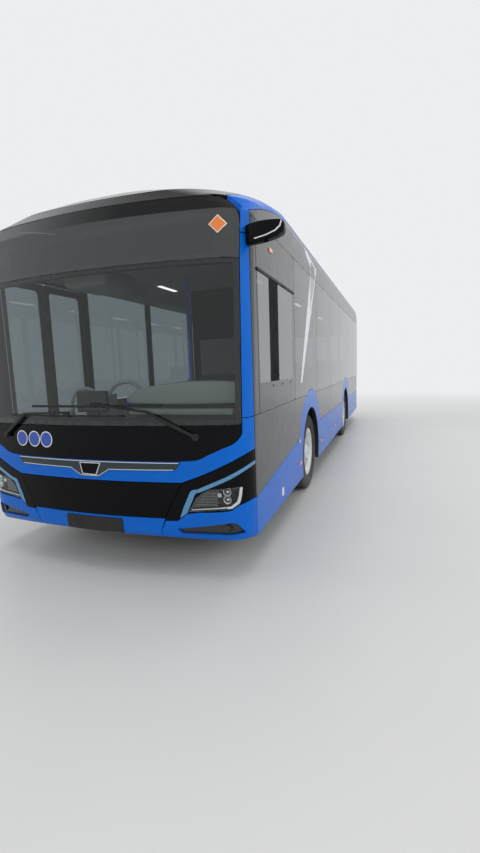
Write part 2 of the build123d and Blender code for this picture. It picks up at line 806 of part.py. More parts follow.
def wheel_box(axle_y, side):
    """End walls, top and inner wall of one wheel box; the inner wall leaves a way for the axle."""
    y = (axle_y - WHEEL_BOX_HALF_LENGTH, axle_y + WHEEL_BOX_HALF_LENGTH)
    x = sorted((side * WHEEL_BOX_INNER_X, side * INNER))
    wall_x = sorted((side * (WHEEL_BOX_INNER_X - SHEET), side * WHEEL_BOX_INNER_X))
    z = (FLOOR_TOP - FLOOR_SHEET, WHEEL_BOX_TOP - SHEET)
    top_x = sorted((side * (WHEEL_BOX_INNER_X - SHEET), side * INNER))
    sheets = [
        block(x, (y[0] - SHEET, y[0]), z),
        block(x, (y[1], y[1] + SHEET), z),
        block(top_x, (y[0] - SHEET, y[1] + SHEET), (z[1], WHEEL_BOX_TOP)),
    ]
    way_z = REAR_FLOOR_TOP - FLOOR_SHEET
    low_z = (z[0], way_z)
    sheets += [
        block(wall_x, (y[0] - SHEET, axle_y - AXLE_WAY), low_z),
        block(wall_x, (axle_y + AXLE_WAY, y[1] + SHEET), low_z),
        block(wall_x, (y[0] - SHEET, y[1] + SHEET), (way_z, z[1])),
    ]
    return sheets


def floor():
    """Low floor with cab platform, wheel boxes, step, raised deck, rear bulkhead and shelf."""
    slab_z = (FLOOR_TOP - FLOOR_SHEET, FLOOR_TOP)
    deck_z = (REAR_FLOOR_TOP - FLOOR_SHEET, REAR_FLOOR_TOP)
    box_half = WHEEL_BOX_HALF_LENGTH + SHEET
    box_x = WHEEL_BOX_INNER_X - SHEET
    everywhere = EVERYWHERE_X
    between = (-box_x, box_x)
    step_top = (FLOOR_TOP + REAR_FLOOR_TOP) / 2
    # Columns: x, y, z
    sheets = [
        (everywhere, (FRONT, FRONT_AXLE - box_half), slab_z),
        (between, (FRONT_AXLE - box_half, FRONT_AXLE + box_half), slab_z),
        (everywhere, (FRONT_AXLE + box_half, DECK_START - 20), slab_z),
        ((-INNER, INNER), (DECK_START - 20, DECK_START), (slab_z[0], deck_z[0])),
        (everywhere, (DECK_START - 20, REAR_AXLE - box_half), deck_z),
        (between, (REAR_AXLE - box_half, REAR_AXLE + box_half), deck_z),
        (everywhere, (REAR_AXLE + box_half, REAR), deck_z),
        (between, (DECK_START - 320, DECK_START - 20), (FLOOR_TOP, step_top)),
        ((CAB_INNER_X, INNER + 5), (FRONT, back(1500)), (FLOOR_TOP, CAB_FLOOR_TOP)),
        ((CAB_INNER_X, INNER), (back(1500), back(1520)), (FLOOR_TOP, 1900)),
        (everywhere, (BULKHEAD_Y, BULKHEAD_Y + SHEET), (REAR_FLOOR_TOP, SHELF_TOP - SHEET)),
        (everywhere, (BULKHEAD_Y, REAR), (SHELF_TOP - SHEET, SHELF_TOP)),
    ]
    solids = [INSIDE & block(*row) for row in sheets]
    for axle_y in (FRONT_AXLE, REAR_AXLE):
        for side in (1, -1):
            solids += wheel_box(axle_y, side)
    save("floor", *solids)


FRAME_START = 640.0
FRAME_LOW = 215.0
FRAME_HIGH = FLOOR_TOP - FLOOR_SHEET
RAIL_X = 480.0
RAIL_HALF = 30.0
# Crossbeams. Columns: distance behind the front, half length
CROSSBEAMS = (
    (680, 1180),
    (1250, 1180),
    (2080, 1180),
    (2500, 540),
    (3050, 540),
    (3480, 1180),
    (4400, 1180),
    (5300, 1180),
    (6100, 1180),
    (6800, 540),
)
REAR_BEAMS = ((6480, 540), (7500, 540), (8150, 1180), (9000, 1180), (9900, 1120))
REAR_FRAME_LOW = 460.0
FRAME_POSTS = (6480, 6800)


def crossbeam(place, half, z):
    """Square beam across the frame, in lengths between the rails."""
    y = (back(place) - RAIL_HALF, back(place) + RAIL_HALF)
    lengths = [block((-RAIL_X + RAIL_HALF, RAIL_X - RAIL_HALF), y, z)]
    for side in (1, -1):
        x = sorted((side * (RAIL_X + RAIL_HALF), side * half))
        lengths.append(block(x, y, z))
    return lengths


def underframe():
    """Welded floor frame: rails raised over the front axle, rear rails on posts, and crossbeams."""
    parts = []
    axle_gap = 170.0
    deck_low = REAR_FLOOR_TOP - FLOOR_SHEET
    for side in (1, -1):
        x = (side * RAIL_X - RAIL_HALF, side * RAIL_X + RAIL_HALF)
        parts.append(block(x, (back(FRAME_START), FRONT_AXLE - axle_gap), (FRAME_LOW, FRAME_HIGH)))
        parts.append(block(x, (FRONT_AXLE - axle_gap, FRONT_AXLE + axle_gap), (FRAME_HIGH - 50, FRAME_HIGH)))
        parts.append(block(x, (FRONT_AXLE + axle_gap, REAR_AXLE - 330), (FRAME_LOW, FRAME_HIGH)))
        parts.append(block(x, (DECK_START, back(10200)), (REAR_FRAME_LOW, deck_low)))
        for place in FRAME_POSTS:
            y = (back(place) - RAIL_HALF, back(place) + RAIL_HALF)
            parts.append(block(x, y, (FRAME_HIGH, REAR_FRAME_LOW)))
    for place, half in CROSSBEAMS:
        parts += crossbeam(place, half, (FRAME_LOW + 20, FRAME_HIGH))
    for place, half in REAR_BEAMS:
        parts += crossbeam(place, half, (REAR_FRAME_LOW, deck_low))
    save("underframe", *parts)


def front_axle():
    """Dropped beam with an upright, two kingpin eyes and a pin at each end."""
    beam_y = (FRONT_AXLE - 45, FRONT_AXLE + 45)
    parts = [block((-790, 790), beam_y, (135, 235))]
    for side in (1, -1):
        upright_x = sorted((side * 740, side * 830))
        parts.append(block(upright_x, beam_y, (235, 700)))
        for z in (250, 660):
            arm = block(sorted((side * 830, side * KINGPIN_X)), beam_y, (z, z + 40))
            eye = Pos(side * KINGPIN_X, FRONT_AXLE, z + 20) * Cylinder(48, 40)
            parts.append(union([arm, eye]))
        pin_x = side * KINGPIN_X
        parts.append(rod((pin_x, FRONT_AXLE, 290), (pin_x, FRONT_AXLE, 660), PIN_RADIUS))
        seat_x = (side * RAIL_X - 40, side * RAIL_X + 40)
        parts.append(block(seat_x, (FRONT_AXLE - 40, FRONT_AXLE + 40), (235, FRAME_HIGH - 50)))
    save("front_axle", *parts)


def knuckle(side):
    """Steering knuckle: a block round the kingpin, the stub axle and the brake disc."""
    name = "left" if side > 0 else "right"
    x_pin = side * KINGPIN_X
    carrier = Pos(x_pin, FRONT_AXLE, HUB_Z - 4) * Cylinder(46, 355)
    carrier -= Pos(x_pin, FRONT_AXLE, HUB_Z - 4) * Cylinder(PIN_RADIUS + RUNNING_GAP, 400)
    stub_range = (KINGPIN_X + 30, FRONT_WHEEL_X + FRONT_HUB_FACE - HUB_BACK - RUNNING_GAP)
    brake_range = (KINGPIN_X + 75, KINGPIN_X + 120)
    stub, brake = [
        rod((side * inside, FRONT_AXLE, HUB_Z), (side * outside, FRONT_AXLE, HUB_Z), radius)
        for (inside, outside), radius in ((stub_range, 45), (brake_range, 205))
    ]
    arm = block(sorted((x_pin, x_pin + side * 50)), (FRONT_AXLE, FRONT_AXLE + 190), (330, 360))
    body = union([carrier, stub, brake, arm])
    body -= Pos(x_pin, FRONT_AXLE, HUB_Z - 4) * Cylinder(PIN_RADIUS + RUNNING_GAP, 400)
    save(f"knuckle_{name}", body)


def tyre_profile(width):
    """Half section of a tyre, about its own axis, as (across, radius)."""
    half = width / 2
    return outline(
        (-half + 38, RIM_RADIUS),
        (half - 38, RIM_RADIUS),
        (half - 36, RIM_RADIUS + 20),
        (half - 6, RIM_RADIUS + 45),
        (half, RIM_RADIUS + 92, half - 12, TYRE_RADIUS - 32),
        (half - 30, TYRE_RADIUS - 5),
        (half - 48, TYRE_RADIUS),
        (-half + 48, TYRE_RADIUS),
        (-half + 30, TYRE_RADIUS - 5),
        (-half + 12, TYRE_RADIUS - 32),
        (-half, RIM_RADIUS + 92, -half + 6, RIM_RADIUS + 45),
        (-half + 36, RIM_RADIUS + 20),
    )


def turned(face, x, y, z, side):
    """Profile (across, radius) turned about a wheel's axle; across points outward."""
    solid = revolve(Plane.XY * face, Axis.X)
    if side < 0:
        solid = mirror(solid, about=Plane.YZ)
    return Pos(x, y, z) * solid


RIM_HALF = 105.0


def rim_barrel():
    """Barrel that carries the tyre's beads."""
    return outline(
        (-RIM_HALF - 8, RIM_RADIUS + 18),
        (-RIM_HALF - 8, RIM_RADIUS - 14),
        (-70, RIM_RADIUS - 44),
        (70, RIM_RADIUS - 44),
        (RIM_HALF + 8, RIM_RADIUS - 14),
        (RIM_HALF + 8, RIM_RADIUS + 18),
        (RIM_HALF, RIM_RADIUS + 18),
        (RIM_HALF, RIM_RADIUS - 0.3),
        (-RIM_HALF, RIM_RADIUS - 0.3),
        (-RIM_HALF, RIM_RADIUS + 18),
    )


def dish(outer_face, hub_face, hub_radius):
    """Disc from the barrel to the hub, as one closed profile."""
    return outline(
        (outer_face - 12, RIM_RADIUS - 43),
        (outer_face, RIM_RADIUS - 43),
        (hub_face + 4, 190, hub_face + 12, 150),
        (hub_face + 12, hub_radius + 8),
        (hub_face + 42, hub_radius),
        (hub_face + 48, 0),
        (hub_face - HUB_BACK, 0),
        (hub_face - HUB_BACK, hub_radius + 4),
        (hub_face, hub_radius + 8),
        (hub_face, 150),
        (hub_face - 8, 188, outer_face - 12, RIM_RADIUS - 43),
    )


def wheel(x, y, side, hub_face, outer_face):
    """A rim with its disc and tyre at one wheel place."""
    barrel = turned(rim_barrel(), x, y, HUB_Z, side)
    disc_part = turned(dish(outer_face, hub_face, 92), x, y, HUB_Z, side)
    return union([barrel, disc_part])


def wheels():
    """Single front wheels and twin rear wheels."""
    for side, name in ((1, "left"), (-1, "right")):
        x = side * FRONT_WHEEL_X
        save(f"front_rim_{name}", wheel(x, FRONT_AXLE, side, FRONT_HUB_FACE, 30))
        save(f"front_tyre_{name}", turned(tyre_profile(TYRE_WIDTH), x, FRONT_AXLE, HUB_Z, side))
        outer_x = side * TWIN_OUTER_X
        inner_x = side * (TWIN_OUTER_X - TWIN_SPACING)
        outer = wheel(outer_x, REAR_AXLE, side, REAR_HUB_FACE, -60)
        link = rod((inner_x, REAR_AXLE, HUB_Z), (outer_x, REAR_AXLE, HUB_Z), 130)
        inner_barrel = turned(rim_barrel(), inner_x, REAR_AXLE, HUB_Z, side)
        web_x = (inner_x + side * 40, inner_x + side * 52)
        web = rod((web_x[0], REAR_AXLE, HUB_Z), (web_x[1], REAR_AXLE, HUB_Z), RIM_RADIUS - 43)
        save(f"rear_rims_{name}", union([outer, link, inner_barrel, web]))
        tyre = tyre_profile(TYRE_WIDTH)
        tyres = [turned(tyre, place, REAR_AXLE, HUB_Z, side) for place in (outer_x, inner_x)]
        save(f"rear_tyres_{name}", *tyres)


def rear_axle():
    """Dropped portal axle with a wheel-head housing at each end, and the drive motor."""
    beam = rod((-515, REAR_AXLE, 330), (515, REAR_AXLE, 330), 70)
    seats = []
    parts = []
    for side in (1, -1):
        head_x = sorted((side * 515, side * 566))
        head = side_prism(rounded((REAR_AXLE - 105, REAR_AXLE + 105), (245, HUB_Z + 50), 45), head_x)
        stub_end = side * (TWIN_OUTER_X - TWIN_SPACING - RUNNING_GAP)
        stub = rod((side * 566, REAR_AXLE, HUB_Z), (stub_end, REAR_AXLE, HUB_Z), 48)
        parts += [head, stub]
        seat_x = (side * RAIL_X - RAIL_HALF, side * RAIL_X + RAIL_HALF)
        seats.append(block(seat_x, (REAR_AXLE - 45, REAR_AXLE + 45), (330, REAR_FRAME_LOW)))
    save("rear_axle", union([beam, *seats]), *parts)
    motor_z = (REAR_FRAME_LOW - 225, REAR_FRAME_LOW)
    save("drive_motor", block((-270, 270), (REAR_AXLE + 230, REAR_AXLE + 830), motor_z))


# Rear wall
REAR_ZONE = 285.0
FLAP_HALF = 860.0
FLAP_Z = (640.0, 1330.0)
REAR_WINDOW_HALF = 960.0
REAR_WINDOW_Z = (1480.0, 2440.0)


def rear_end():
    """Rear wall, window, service flap, lamps and bumper."""
    zone = SHELL & block(EVERYWHERE_X, (REAR - REAR_ZONE, REAR + 50), (SKIRT_BOTTOM - 5, CANT_TOP + 50))
    y = (REAR - REAR_ZONE - 1, REAR + 100)
    flap = rounded((-FLAP_HALF, FLAP_HALF), FLAP_Z, 40)
    flap_hole = rounded((-FLAP_HALF - 8, FLAP_HALF + 8), (FLAP_Z[0] - 8, FLAP_Z[1] + 8), 48)
    window = rounded((-REAR_WINDOW_HALF, REAR_WINDOW_HALF), REAR_WINDOW_Z, 60)
    opening_z = (REAR_WINDOW_Z[0] + 40, REAR_WINDOW_Z[1] - 40)
    opening = rounded((-REAR_WINDOW_HALF + 40, REAR_WINDOW_HALF - 40), opening_z, 50)
    upper = zone & block(EVERYWHERE_X, EVERYWHERE_Y, (600, CANT_TOP + 50))
    wall = upper - front_prism(flap_hole, y) - front_prism(opening, y)
    wall -= (OUTER - skin(GLASS)) & front_prism(window, y)
    lamp_face = rounded((985, 1150), (690, 1290), 60)
    lamp_body = (OUTER - skin(30)) & front_prism(lamp_face, y)
    wall = wall - lamp_body - mirror(lamp_body, about=Plane.YZ)
    hinge_y = REAR - 6.0
    hinge_z = FLAP_Z[1] + 4
    wall_hinges = []
    flap_hinges = []
    for x in (-500, 450):
        for start, direction, made in ((x, 1, wall_hinges), (x + 50 + RUNNING_GAP, -1, flap_hinges)):
            barrel = rod((start, hinge_y, hinge_z), (start + 50, hinge_y, hinge_z), 7)
            z = sorted((hinge_z, hinge_z + direction * 34))
            made += [barrel, block((start, start + 50), (hinge_y - 25, hinge_y), z)]
    wall = union([wall, *wall_hinges])
    across = (-REAR_WINDOW_HALF - 20, REAR_WINDOW_HALF + 20)
    low_z = (500, FLAP_Z[0] - 8)
    middle_z = (FLAP_Z[1] + 8, REAR_WINDOW_Z[0] + 40)
    lengths = [
        block((across[1], HALF + 100), EVERYWHERE_Y, (500, ROOF_TOP + 100)),
        block((-HALF - 100, across[0]), EVERYWHERE_Y, (500, ROOF_TOP + 100)),
        block(across, EVERYWHERE_Y, low_z),
        block(across, EVERYWHERE_Y, (low_z[1], middle_z[0])),
        block(across, EVERYWHERE_Y, middle_z),
        block(across, EVERYWHERE_Y, (middle_z[1], REAR_WINDOW_Z[1] - 40)),
        block(across, EVERYWHERE_Y, (REAR_WINDOW_Z[1] - 40, ROOF_TOP + 100)),
    ]
    save("rear_wall", *[solid for length in lengths for solid in shared(wall, length)])
    save("rear_window", PANE & front_prism(window, y))
    save("rear_lamps", *both_sides(lamp_body))
    save("rear_bumper", zone & block(EVERYWHERE_X, EVERYWHERE_Y, (SKIRT_BOTTOM - 5, 596)))
    flap_panel = (OUTER - skin(36)) & front_prism(flap, y)
    save("rear_flap", union([flap_panel, *flap_hinges]))


def door_leaf(name, hinge, towards):
    """One leaf with its turning post: hinge is the jamb's place, towards the way it spans."""
    width = (DOOR_OPENING - LEAF_MIDDLE_GAP) / 2 - LEAF_SIDE_GAP
    start = back(hinge) + towards * LEAF_SIDE_GAP
    end = start + towards * width
    y = (min(start, end), max(start, end))
    z = (FLOOR_TOP + LEAF_FLOOR_GAP, DOOR_HEAD - 10)
    x = (-HALF, -HALF + LEAF_THICKNESS)
    leaf = side_prism(rounded(y, z, 12), x)
    glass_y = (y[0] + 55, y[1] - 55)
    glass_z = (z[0] + 190, z[1] - 70)
    leaf -= side_prism(rounded(glass_y, glass_z, 45), (x[0] - 1, x[1] + 1))
    post_x = -HALF + POST_INBOARD
    post_y = back(hinge) + towards * POST_FROM_JAMB
    post_end = DUCT_LOW - RUNNING_GAP
    post = rod((post_x, post_y, FLOOR_TOP + RUNNING_GAP), (post_x, post_y, post_end), POST_RADIUS)
    arms = []
    for arm_z in (z[0] + 60, z[1] - 60):
        arm_y = (post_y - 8, post_y + 8)
        arms.append(block((x[1] - 1, post_x), arm_y, (arm_z - 22, arm_z + 22)))
    save(f"{name}_leaf", union([leaf, post, *arms]))
    pane = side_prism(rounded(glass_y, glass_z, 45), (x[0] + 12, x[0] + 12 + GLASS))
    save(f"{name}_glass", pane)


def doors():
    """Four leaves in two doorways on the right side."""
    for label, (start, end) in zip(("front_door", "middle_door"), DOORWAYS):
        door_leaf(f"{label}_fore", start, 1)
        door_leaf(f"{label}_aft", end, -1)


SEAT_WIDTH = 440.0
SEAT_PAIR_X = INNER - SEAT_WIDTH - 15
# Seat pairs. Columns: middle x, front edge of the cushion behind the bus's front, floor under it
SEATS = (
    (SEAT_PAIR_X, 3780, FLOOR_TOP),
    (-SEAT_PAIR_X, 3780, FLOOR_TOP),
    (SEAT_PAIR_X, 4600, FLOOR_TOP),
    (SEAT_PAIR_X, 5400, FLOOR_TOP),
    (SEAT_PAIR_X, 7860, REAR_FLOOR_TOP),
    (-SEAT_PAIR_X, 7860, REAR_FLOOR_TOP),
    (SEAT_PAIR_X, 8640, REAR_FLOOR_TOP),
    (-SEAT_PAIR_X, 8640, REAR_FLOOR_TOP),
    (SEAT_PAIR_X, 9420, REAR_FLOOR_TOP),
    (-SEAT_PAIR_X, 9420, REAR_FLOOR_TOP),
)


def seat_pair(x, front_edge, floor_z):
    """Two seats side by side on one pedestal, facing ahead: cushion, two backs and pedestal."""
    y = back(front_edge)
    half = SEAT_WIDTH
    cushion_face = outline(
        (y, floor_z + 400),
        (y + 20, floor_z + 450),
        (y + 380, floor_z + 440),
        (y + 455, floor_z + 440),
        (y + 450, floor_z + 385),
        (y + 40, floor_z + 385),
    )
    rest_face = outline(
        (y + 380, floor_z + 440),
        (y + 470, floor_z + 1080),
        (y + 520, floor_z + 1080),
        (y + 455, floor_z + 440),
    )
    cushion = side_prism(cushion_face, (x - half, x + half - 10))
    rests = [side_prism(rest_face, ends) for ends in ((x - half, x - 12), (x + 2, x + half - 10))]
    pedestal = block((x - 60, x + 60), (y + 160, y + 260), (floor_z, floor_z + 385))
    return [cushion, *rests, pedestal]


def seats():
    """Passenger seats in pairs, and the rear bench."""
    save("seats", *[solid for row in SEATS for solid in seat_pair(*row)])


POLE_RADIUS = 17.0
# Grab poles. Columns: x, distance behind the front, foot z
POLES = (
    (-260, 3650, FLOOR_TOP),
    (330, 3650, FLOOR_TOP),
    (330, 5350, FLOOR_TOP),
    (-330, 6200, (FLOOR_TOP + REAR_FLOOR_TOP) / 2),
    (330, 7560, REAR_FLOOR_TOP),
    (-330, 8510, REAR_FLOOR_TOP),
)


def handrails():
    """Grab poles from floor to ceiling."""
    poles = []
    for x, place, foot in POLES:
        poles.append(rod((x, back(place), foot), (x, back(place), CEILING), POLE_RADIUS))
    save("grab_poles", *poles)


MIRROR_TIP_X = 1555.0
WHEEL_CENTRE_BACK = 700.0
WHEEL_CENTRE_Z = 1165.0


def wheel_plane():
    """Plane of the steering wheel, tilted towards the driver."""
    return Plane(
        origin=(DRIVER_X, back(WHEEL_CENTRE_BACK), WHEEL_CENTRE_Z),
        x_dir=(1, 0, 0),
        z_dir=(0, sin(radians(STEERING_TILT)), cos(radians(STEERING_TILT))),
    )


def column_post():
    """Fixed part of the steering column, which the dashboard carries."""
    top = -110 - RUNNING_GAP
    return wheel_plane() * Pos(0, 0, top - 130) * Cylinder(38, 260)


DASH_LOW = 800.0


def driver_place():
    """Dashboard and driver's seat."""
    dash_side = outline(
        (back(0), 1120),
        (back(420), 1175),
        (back(560), 1120, back(600), 1010),
        (back(515), DASH_LOW),
        (back(0), DASH_LOW),
    )
    leg_face = outline(
        (back(345), DASH_LOW),
        (back(510), DASH_LOW),
        (back(440), CAB_FLOOR_TOP),
        (back(385), CAB_FLOOR_TOP),
    )
    inner_front = skin(WALL + FRAME_SHEET)
    left = inner_front & side_prism(dash_side, (CAB_INNER_X, 1190))
    leg_panel = side_prism(leg_face, (CAB_INNER_X, 1190))
    right_side = outline(
        (back(0), 1120),
        (back(300), 1140),
        (back(330), 1100),
        (back(330), DASH_LOW),
        (back(0), DASH_LOW),
    )
    right = inner_front & side_prism(right_side, (-1190, CAB_INNER_X))
    column = column_post() - left - leg_panel
    save("dashboard", left, right, leg_panel, *column.solids())
    seat_low = CAB_FLOOR_TOP + 280
    seat_high = CAB_FLOOR_TOP + 400
    base = block((DRIVER_X - 170, DRIVER_X + 170), (back(960), back(1280)), (CAB_FLOOR_TOP, seat_low))
    cushion = block((DRIVER_X - 240, DRIVER_X + 240), (back(880), back(1370)), (seat_low, seat_high))
    rest = side_prism(
        outline(
            (back(1290), seat_high),
            (back(1380), CAB_FLOOR_TOP + 1150),
            (back(1470), CAB_FLOOR_TOP + 1150),
            (back(1400), CAB_FLOOR_TOP + 330),
            (back(1290), CAB_FLOOR_TOP + 330),
        ),
        (DRIVER_X - 230, DRIVER_X + 230),
    )
    save("driver_seat", base, cushion, rest - cushion)


def steering_wheel():
    """Rim, three spokes, hub and column end, square to the tilted column."""
    rim = Torus(STEERING_WHEEL_RADIUS, 14)
    hub = Pos(0, 0, -20) * Cylinder(55, 40)
    spokes = []
    for angle in (90, 210, 330):
        spoke = Pos(STEERING_WHEEL_RADIUS / 2, 0, -8) * Box(STEERING_WHEEL_RADIUS, 34, 12)
        spokes.append(Rot(0, 0, angle) * spoke)
    column = Pos(0, 0, -70) * Cylinder(24, 80)
    save("steering_wheel", wheel_plane() * union([rim, hub, *spokes, column]))


def mirrors():
    """Camera pods standing out from the top of each front pillar, tapered to the tip."""
    sections = (
        (HALF - 35, rounded((back(250), back(390)), (2470, 2640), 50)),
        (MIRROR_TIP_X, rounded((back(262), back(375)), (2500, 2622), 45)),
    )
    wires = []
    for x, face in sections:
        plane = Plane(origin=(x, 0, 0), x_dir=(0, 1, 0), z_dir=(1, 0, 0))
        wires.append((plane * face).wire())
    body = Solid.make_loft(wires, True) - OUTER
    save("mirror_pods", *both_sides(max(body.solids(), key=lambda solid: solid.volume)))


# Wipers, seen from the front (x, z): pivot, elbow and tip of the arm, then the blade's ends and height
WIPER_ARMS = (
    ((905, 1106), (530, 1296), (80, 1357), (-560, 640), 1340),
    ((-905, 1096), (-640, 1278), (-180, 1292), (-830, 330), 1262),
)


def bar(start, end, width):
    """Flat bar's outline between two points."""
    along = Vector(end[0] - start[0], end[1] - start[1])
    across = along.normalized().rotate(Axis.Z, 90) * (width / 2)
    ends = ((start, 1), (end, 1), (end, -1), (start, -1))
    corners = [(point[0] + sign * across.X, point[1] + sign * across.Y) for point, sign in ends]
    return outline(*corners)


def wipers():
    """Opposed arms and blades lying across the foot of the screen, clear of the glass."""
    arm_layer = skin(-34) - skin(-16)
    blade_layer = skin(-16.5) - skin(-1)
    boss_layer = skin(-34) - OUTER
    made = []
    for pivot, elbow, tip, (blade_start, blade_end), blade_z in WIPER_ARMS:
        lower = arm_layer & front_prism(bar(pivot, elbow, 22), FRONT_ZONE_Y)
        upper = arm_layer & front_prism(bar(elbow, tip, 16), FRONT_ZONE_Y)
        blade_face = rounded((blade_start, blade_end), (blade_z - 9, blade_z + 9), 4)
        blade = blade_layer & front_prism(blade_face, FRONT_ZONE_Y)
        hanger_z = (min(tip[1], blade_z) - 9, max(tip[1], blade_z) + 9)
        hanger_face = rounded((tip[0] - 25, tip[0] + 25), hanger_z, 4)
        hanger = arm_layer & front_prism(hanger_face, FRONT_ZONE_Y)
        boss = boss_layer & front_prism(Pos(*pivot) * Circle(26), FRONT_ZONE_Y)
        made.append(union([lower, upper, blade, hanger, boss]))
    save("wipers", *made)


def main():
    """Build and write every node."""
    os.makedirs("parts", exist_ok=True)
    front_panel()
    lamp_group()
    front_bumper()
    front_trim()
    display = front_glass()
    cant_rails()
    front_dome(display)
    mask_frame(display)
    roof()
    roof_equipment()
    skirts()
    side_panels()
    door_frames(side_glazing())
    floor()
    underframe()
    front_axle()
    knuckle(1)
    knuckle(-1)
    wheels()
    rear_axle()
    rear_end()
    doors()
    seats()
    handrails()
    driver_place()
    steering_wheel()
    mirrors()
    wipers()


main()
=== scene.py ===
"""Looks of a low-floor electric city bus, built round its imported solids.

Metres, +Z up. The bus faces -Y and +X is its left side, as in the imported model.
Places along the bus are often given as distances behind its front face.
"""

import logging
import math
from dataclasses import dataclass
from enum import Enum
from typing import Callable, Iterable, Sequence

import bmesh
import bpy
from mathutils import Matrix, Vector

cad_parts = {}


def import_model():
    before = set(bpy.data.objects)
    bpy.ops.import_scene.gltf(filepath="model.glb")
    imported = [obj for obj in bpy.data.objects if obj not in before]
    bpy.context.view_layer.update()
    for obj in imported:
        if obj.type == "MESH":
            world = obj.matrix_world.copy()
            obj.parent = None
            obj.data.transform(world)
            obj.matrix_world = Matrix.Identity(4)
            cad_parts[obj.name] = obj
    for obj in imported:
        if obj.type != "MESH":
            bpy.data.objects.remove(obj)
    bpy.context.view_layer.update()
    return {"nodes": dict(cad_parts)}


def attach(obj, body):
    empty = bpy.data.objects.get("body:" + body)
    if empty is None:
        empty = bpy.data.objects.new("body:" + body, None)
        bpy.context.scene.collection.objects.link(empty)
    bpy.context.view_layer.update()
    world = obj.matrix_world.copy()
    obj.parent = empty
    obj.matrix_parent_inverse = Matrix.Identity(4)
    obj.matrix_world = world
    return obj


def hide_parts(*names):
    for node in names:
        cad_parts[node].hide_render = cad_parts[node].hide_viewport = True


LOG = logging.getLogger("bus")
Socket = bpy.types.NodeSocket
Piece = bpy.types.Object
Point = tuple[float, float, float]
Colour = tuple[float, float, float]
Pair = tuple[float, float]
Loop = Sequence[Pair]
Onto = Callable[[float, float, float], Point]
Test = Callable[[Vector, Vector], bool]

LENGTH = 10.575
HALF = 1.275
FRONT = -LENGTH / 2
REAR = LENGTH / 2
FRONT_AXLE = FRONT + 2.775
REAR_AXLE = FRONT_AXLE + 4.395
HUB_Z = 0.479
FRONT_WHEEL_X = 1.112
TWIN_OUTER_X = 1.107
TWIN_INNER_X = 0.789
TYRE_RADIUS = 0.479
TYRE_WIDTH = 0.276
RIM_RADIUS = 0.286
ROOF_TOP = 3.090
SKIRT_LOW = 0.287
SIDES = ((1, "left"), (-1, "right"))
# Least part of a normal along an axis for a face to count as flat, so that bevels are left out
FLAT = 0.995


def back(distance: float) -> float:
    """Y of a place given as its distance behind the front face."""
    return FRONT + distance


# Finishes


class Relief(Enum):
    """Kinds of small surface relief."""

    NONE = "none"
    PEEL = "peel"
    GRAIN = "grain"
    BRUSHED = "brushed"
    CAST = "cast"
    WEAVE = "weave"
    RIBBED = "ribbed"


class Nodes:
    """Short ways to add and join the nodes of one material or world."""

    def __init__(self, owner: bpy.types.Material | bpy.types.World) -> None:
        """Clears the owner's tree and keeps it.

        Args:
            owner: The material or world whose nodes are made.
        """
        owner.use_nodes = True
        self.tree = owner.node_tree
        self.tree.nodes.clear()

    def add(self, kind: str, **values: object) -> bpy.types.Node:
        """Adds one node.

        Args:
            kind: Node type without its ShaderNode prefix.
            **values: Inputs to set, or attributes where no input has the name.

        Returns:
            The new node.
        """
        node = self.tree.nodes.new("ShaderNode" + kind)
        for key, value in values.items():
            name = key.replace("_", " ")
            if name in node.inputs:
                node.inputs[name].default_value = value
            else:
                setattr(node, key, value)
        return node

    def join(self, source: Socket, target: Socket) -> None:
        """Links an output to an input."""
        self.tree.links.new(source, target)

    def show(self, surface: Socket, kind: str = "OutputMaterial") -> None:
        """Joins the finished surface to an output node."""
        self.join(surface, self.add(kind).inputs["Surface"])

    def place(self) -> Socket:
        """Object coordinates."""
        return self.add("TexCoord").outputs["Object"]

    def noise(self, scale: float, detail: float = 3.0, at: Socket | None = None) -> Socket:
        """A noise value from 0 to 1.

        Args:
            scale: Cells per metre.
            detail: Octaves.
            at: Coordinates, the plain object ones if None.

        Returns:
            The value.
        """
        node = self.add("TexNoise", Scale=scale, Detail=detail, Roughness=0.55)
        self.join(at or self.place(), node.inputs["Vector"])
        return node.outputs["Fac"]

    def spread(self, value: Socket, low: float, high: float, start: float = 0.3, end: float = 0.7) -> Socket:
        """Maps a value from start..end to low..high, clamped.

        Args:
            value: What is mapped.
            low: Result at start.
            high: Result at end.
            start: Lowest value read.
            end: Highest value read.

        Returns:
            The mapped value.
        """
        node = self.add("MapRange", clamp=True, From_Min=start, From_Max=end, To_Min=low, To_Max=high)
        self.join(value, node.inputs["Value"])
        return node.outputs["Result"]

    def blend(self, factor: Socket, first: Colour | Socket, second: Colour) -> Socket:
        """Mixes two colours.

        Args:
            factor: Share of the second colour.
            first: Colour or socket at 0.
            second: Colour at 1.

        Returns:
            The mixed colour.
        """
        node = self.add("Mix", data_type="RGBA")
        self.join(factor, node.inputs[0])
        for colour, socket in ((first, node.inputs[6]), (second, node.inputs[7])):
            if isinstance(colour, bpy.types.NodeSocket):
                self.join(colour, socket)
            else:
                socket.default_value = (*colour, 1)
        return node.outputs[2]

    def both(self, kind: str, first: Socket, second: Socket) -> Socket:
        """Works on two values.

        Args:
            kind: The operation.
            first: One value.
            second: The other.

        Returns:
            The result.
        """
        node = self.add("Math", operation=kind)
        for source, target in zip((first, second), node.inputs):
            self.join(source, target)
        return node.outputs["Value"]

    def mix(self, share: Socket, first: Socket, second: Socket) -> Socket:
        """Mixes two shaders.

        Args:
            share: Share of the second.
            first: Shader at 0.
            second: Shader at 1.

        Returns:
            The mixed shader.
        """
        node = self.add("MixShader")
        for source, target in zip((share, first, second), node.inputs):
            self.join(source, target)
        return node.outputs["Shader"]


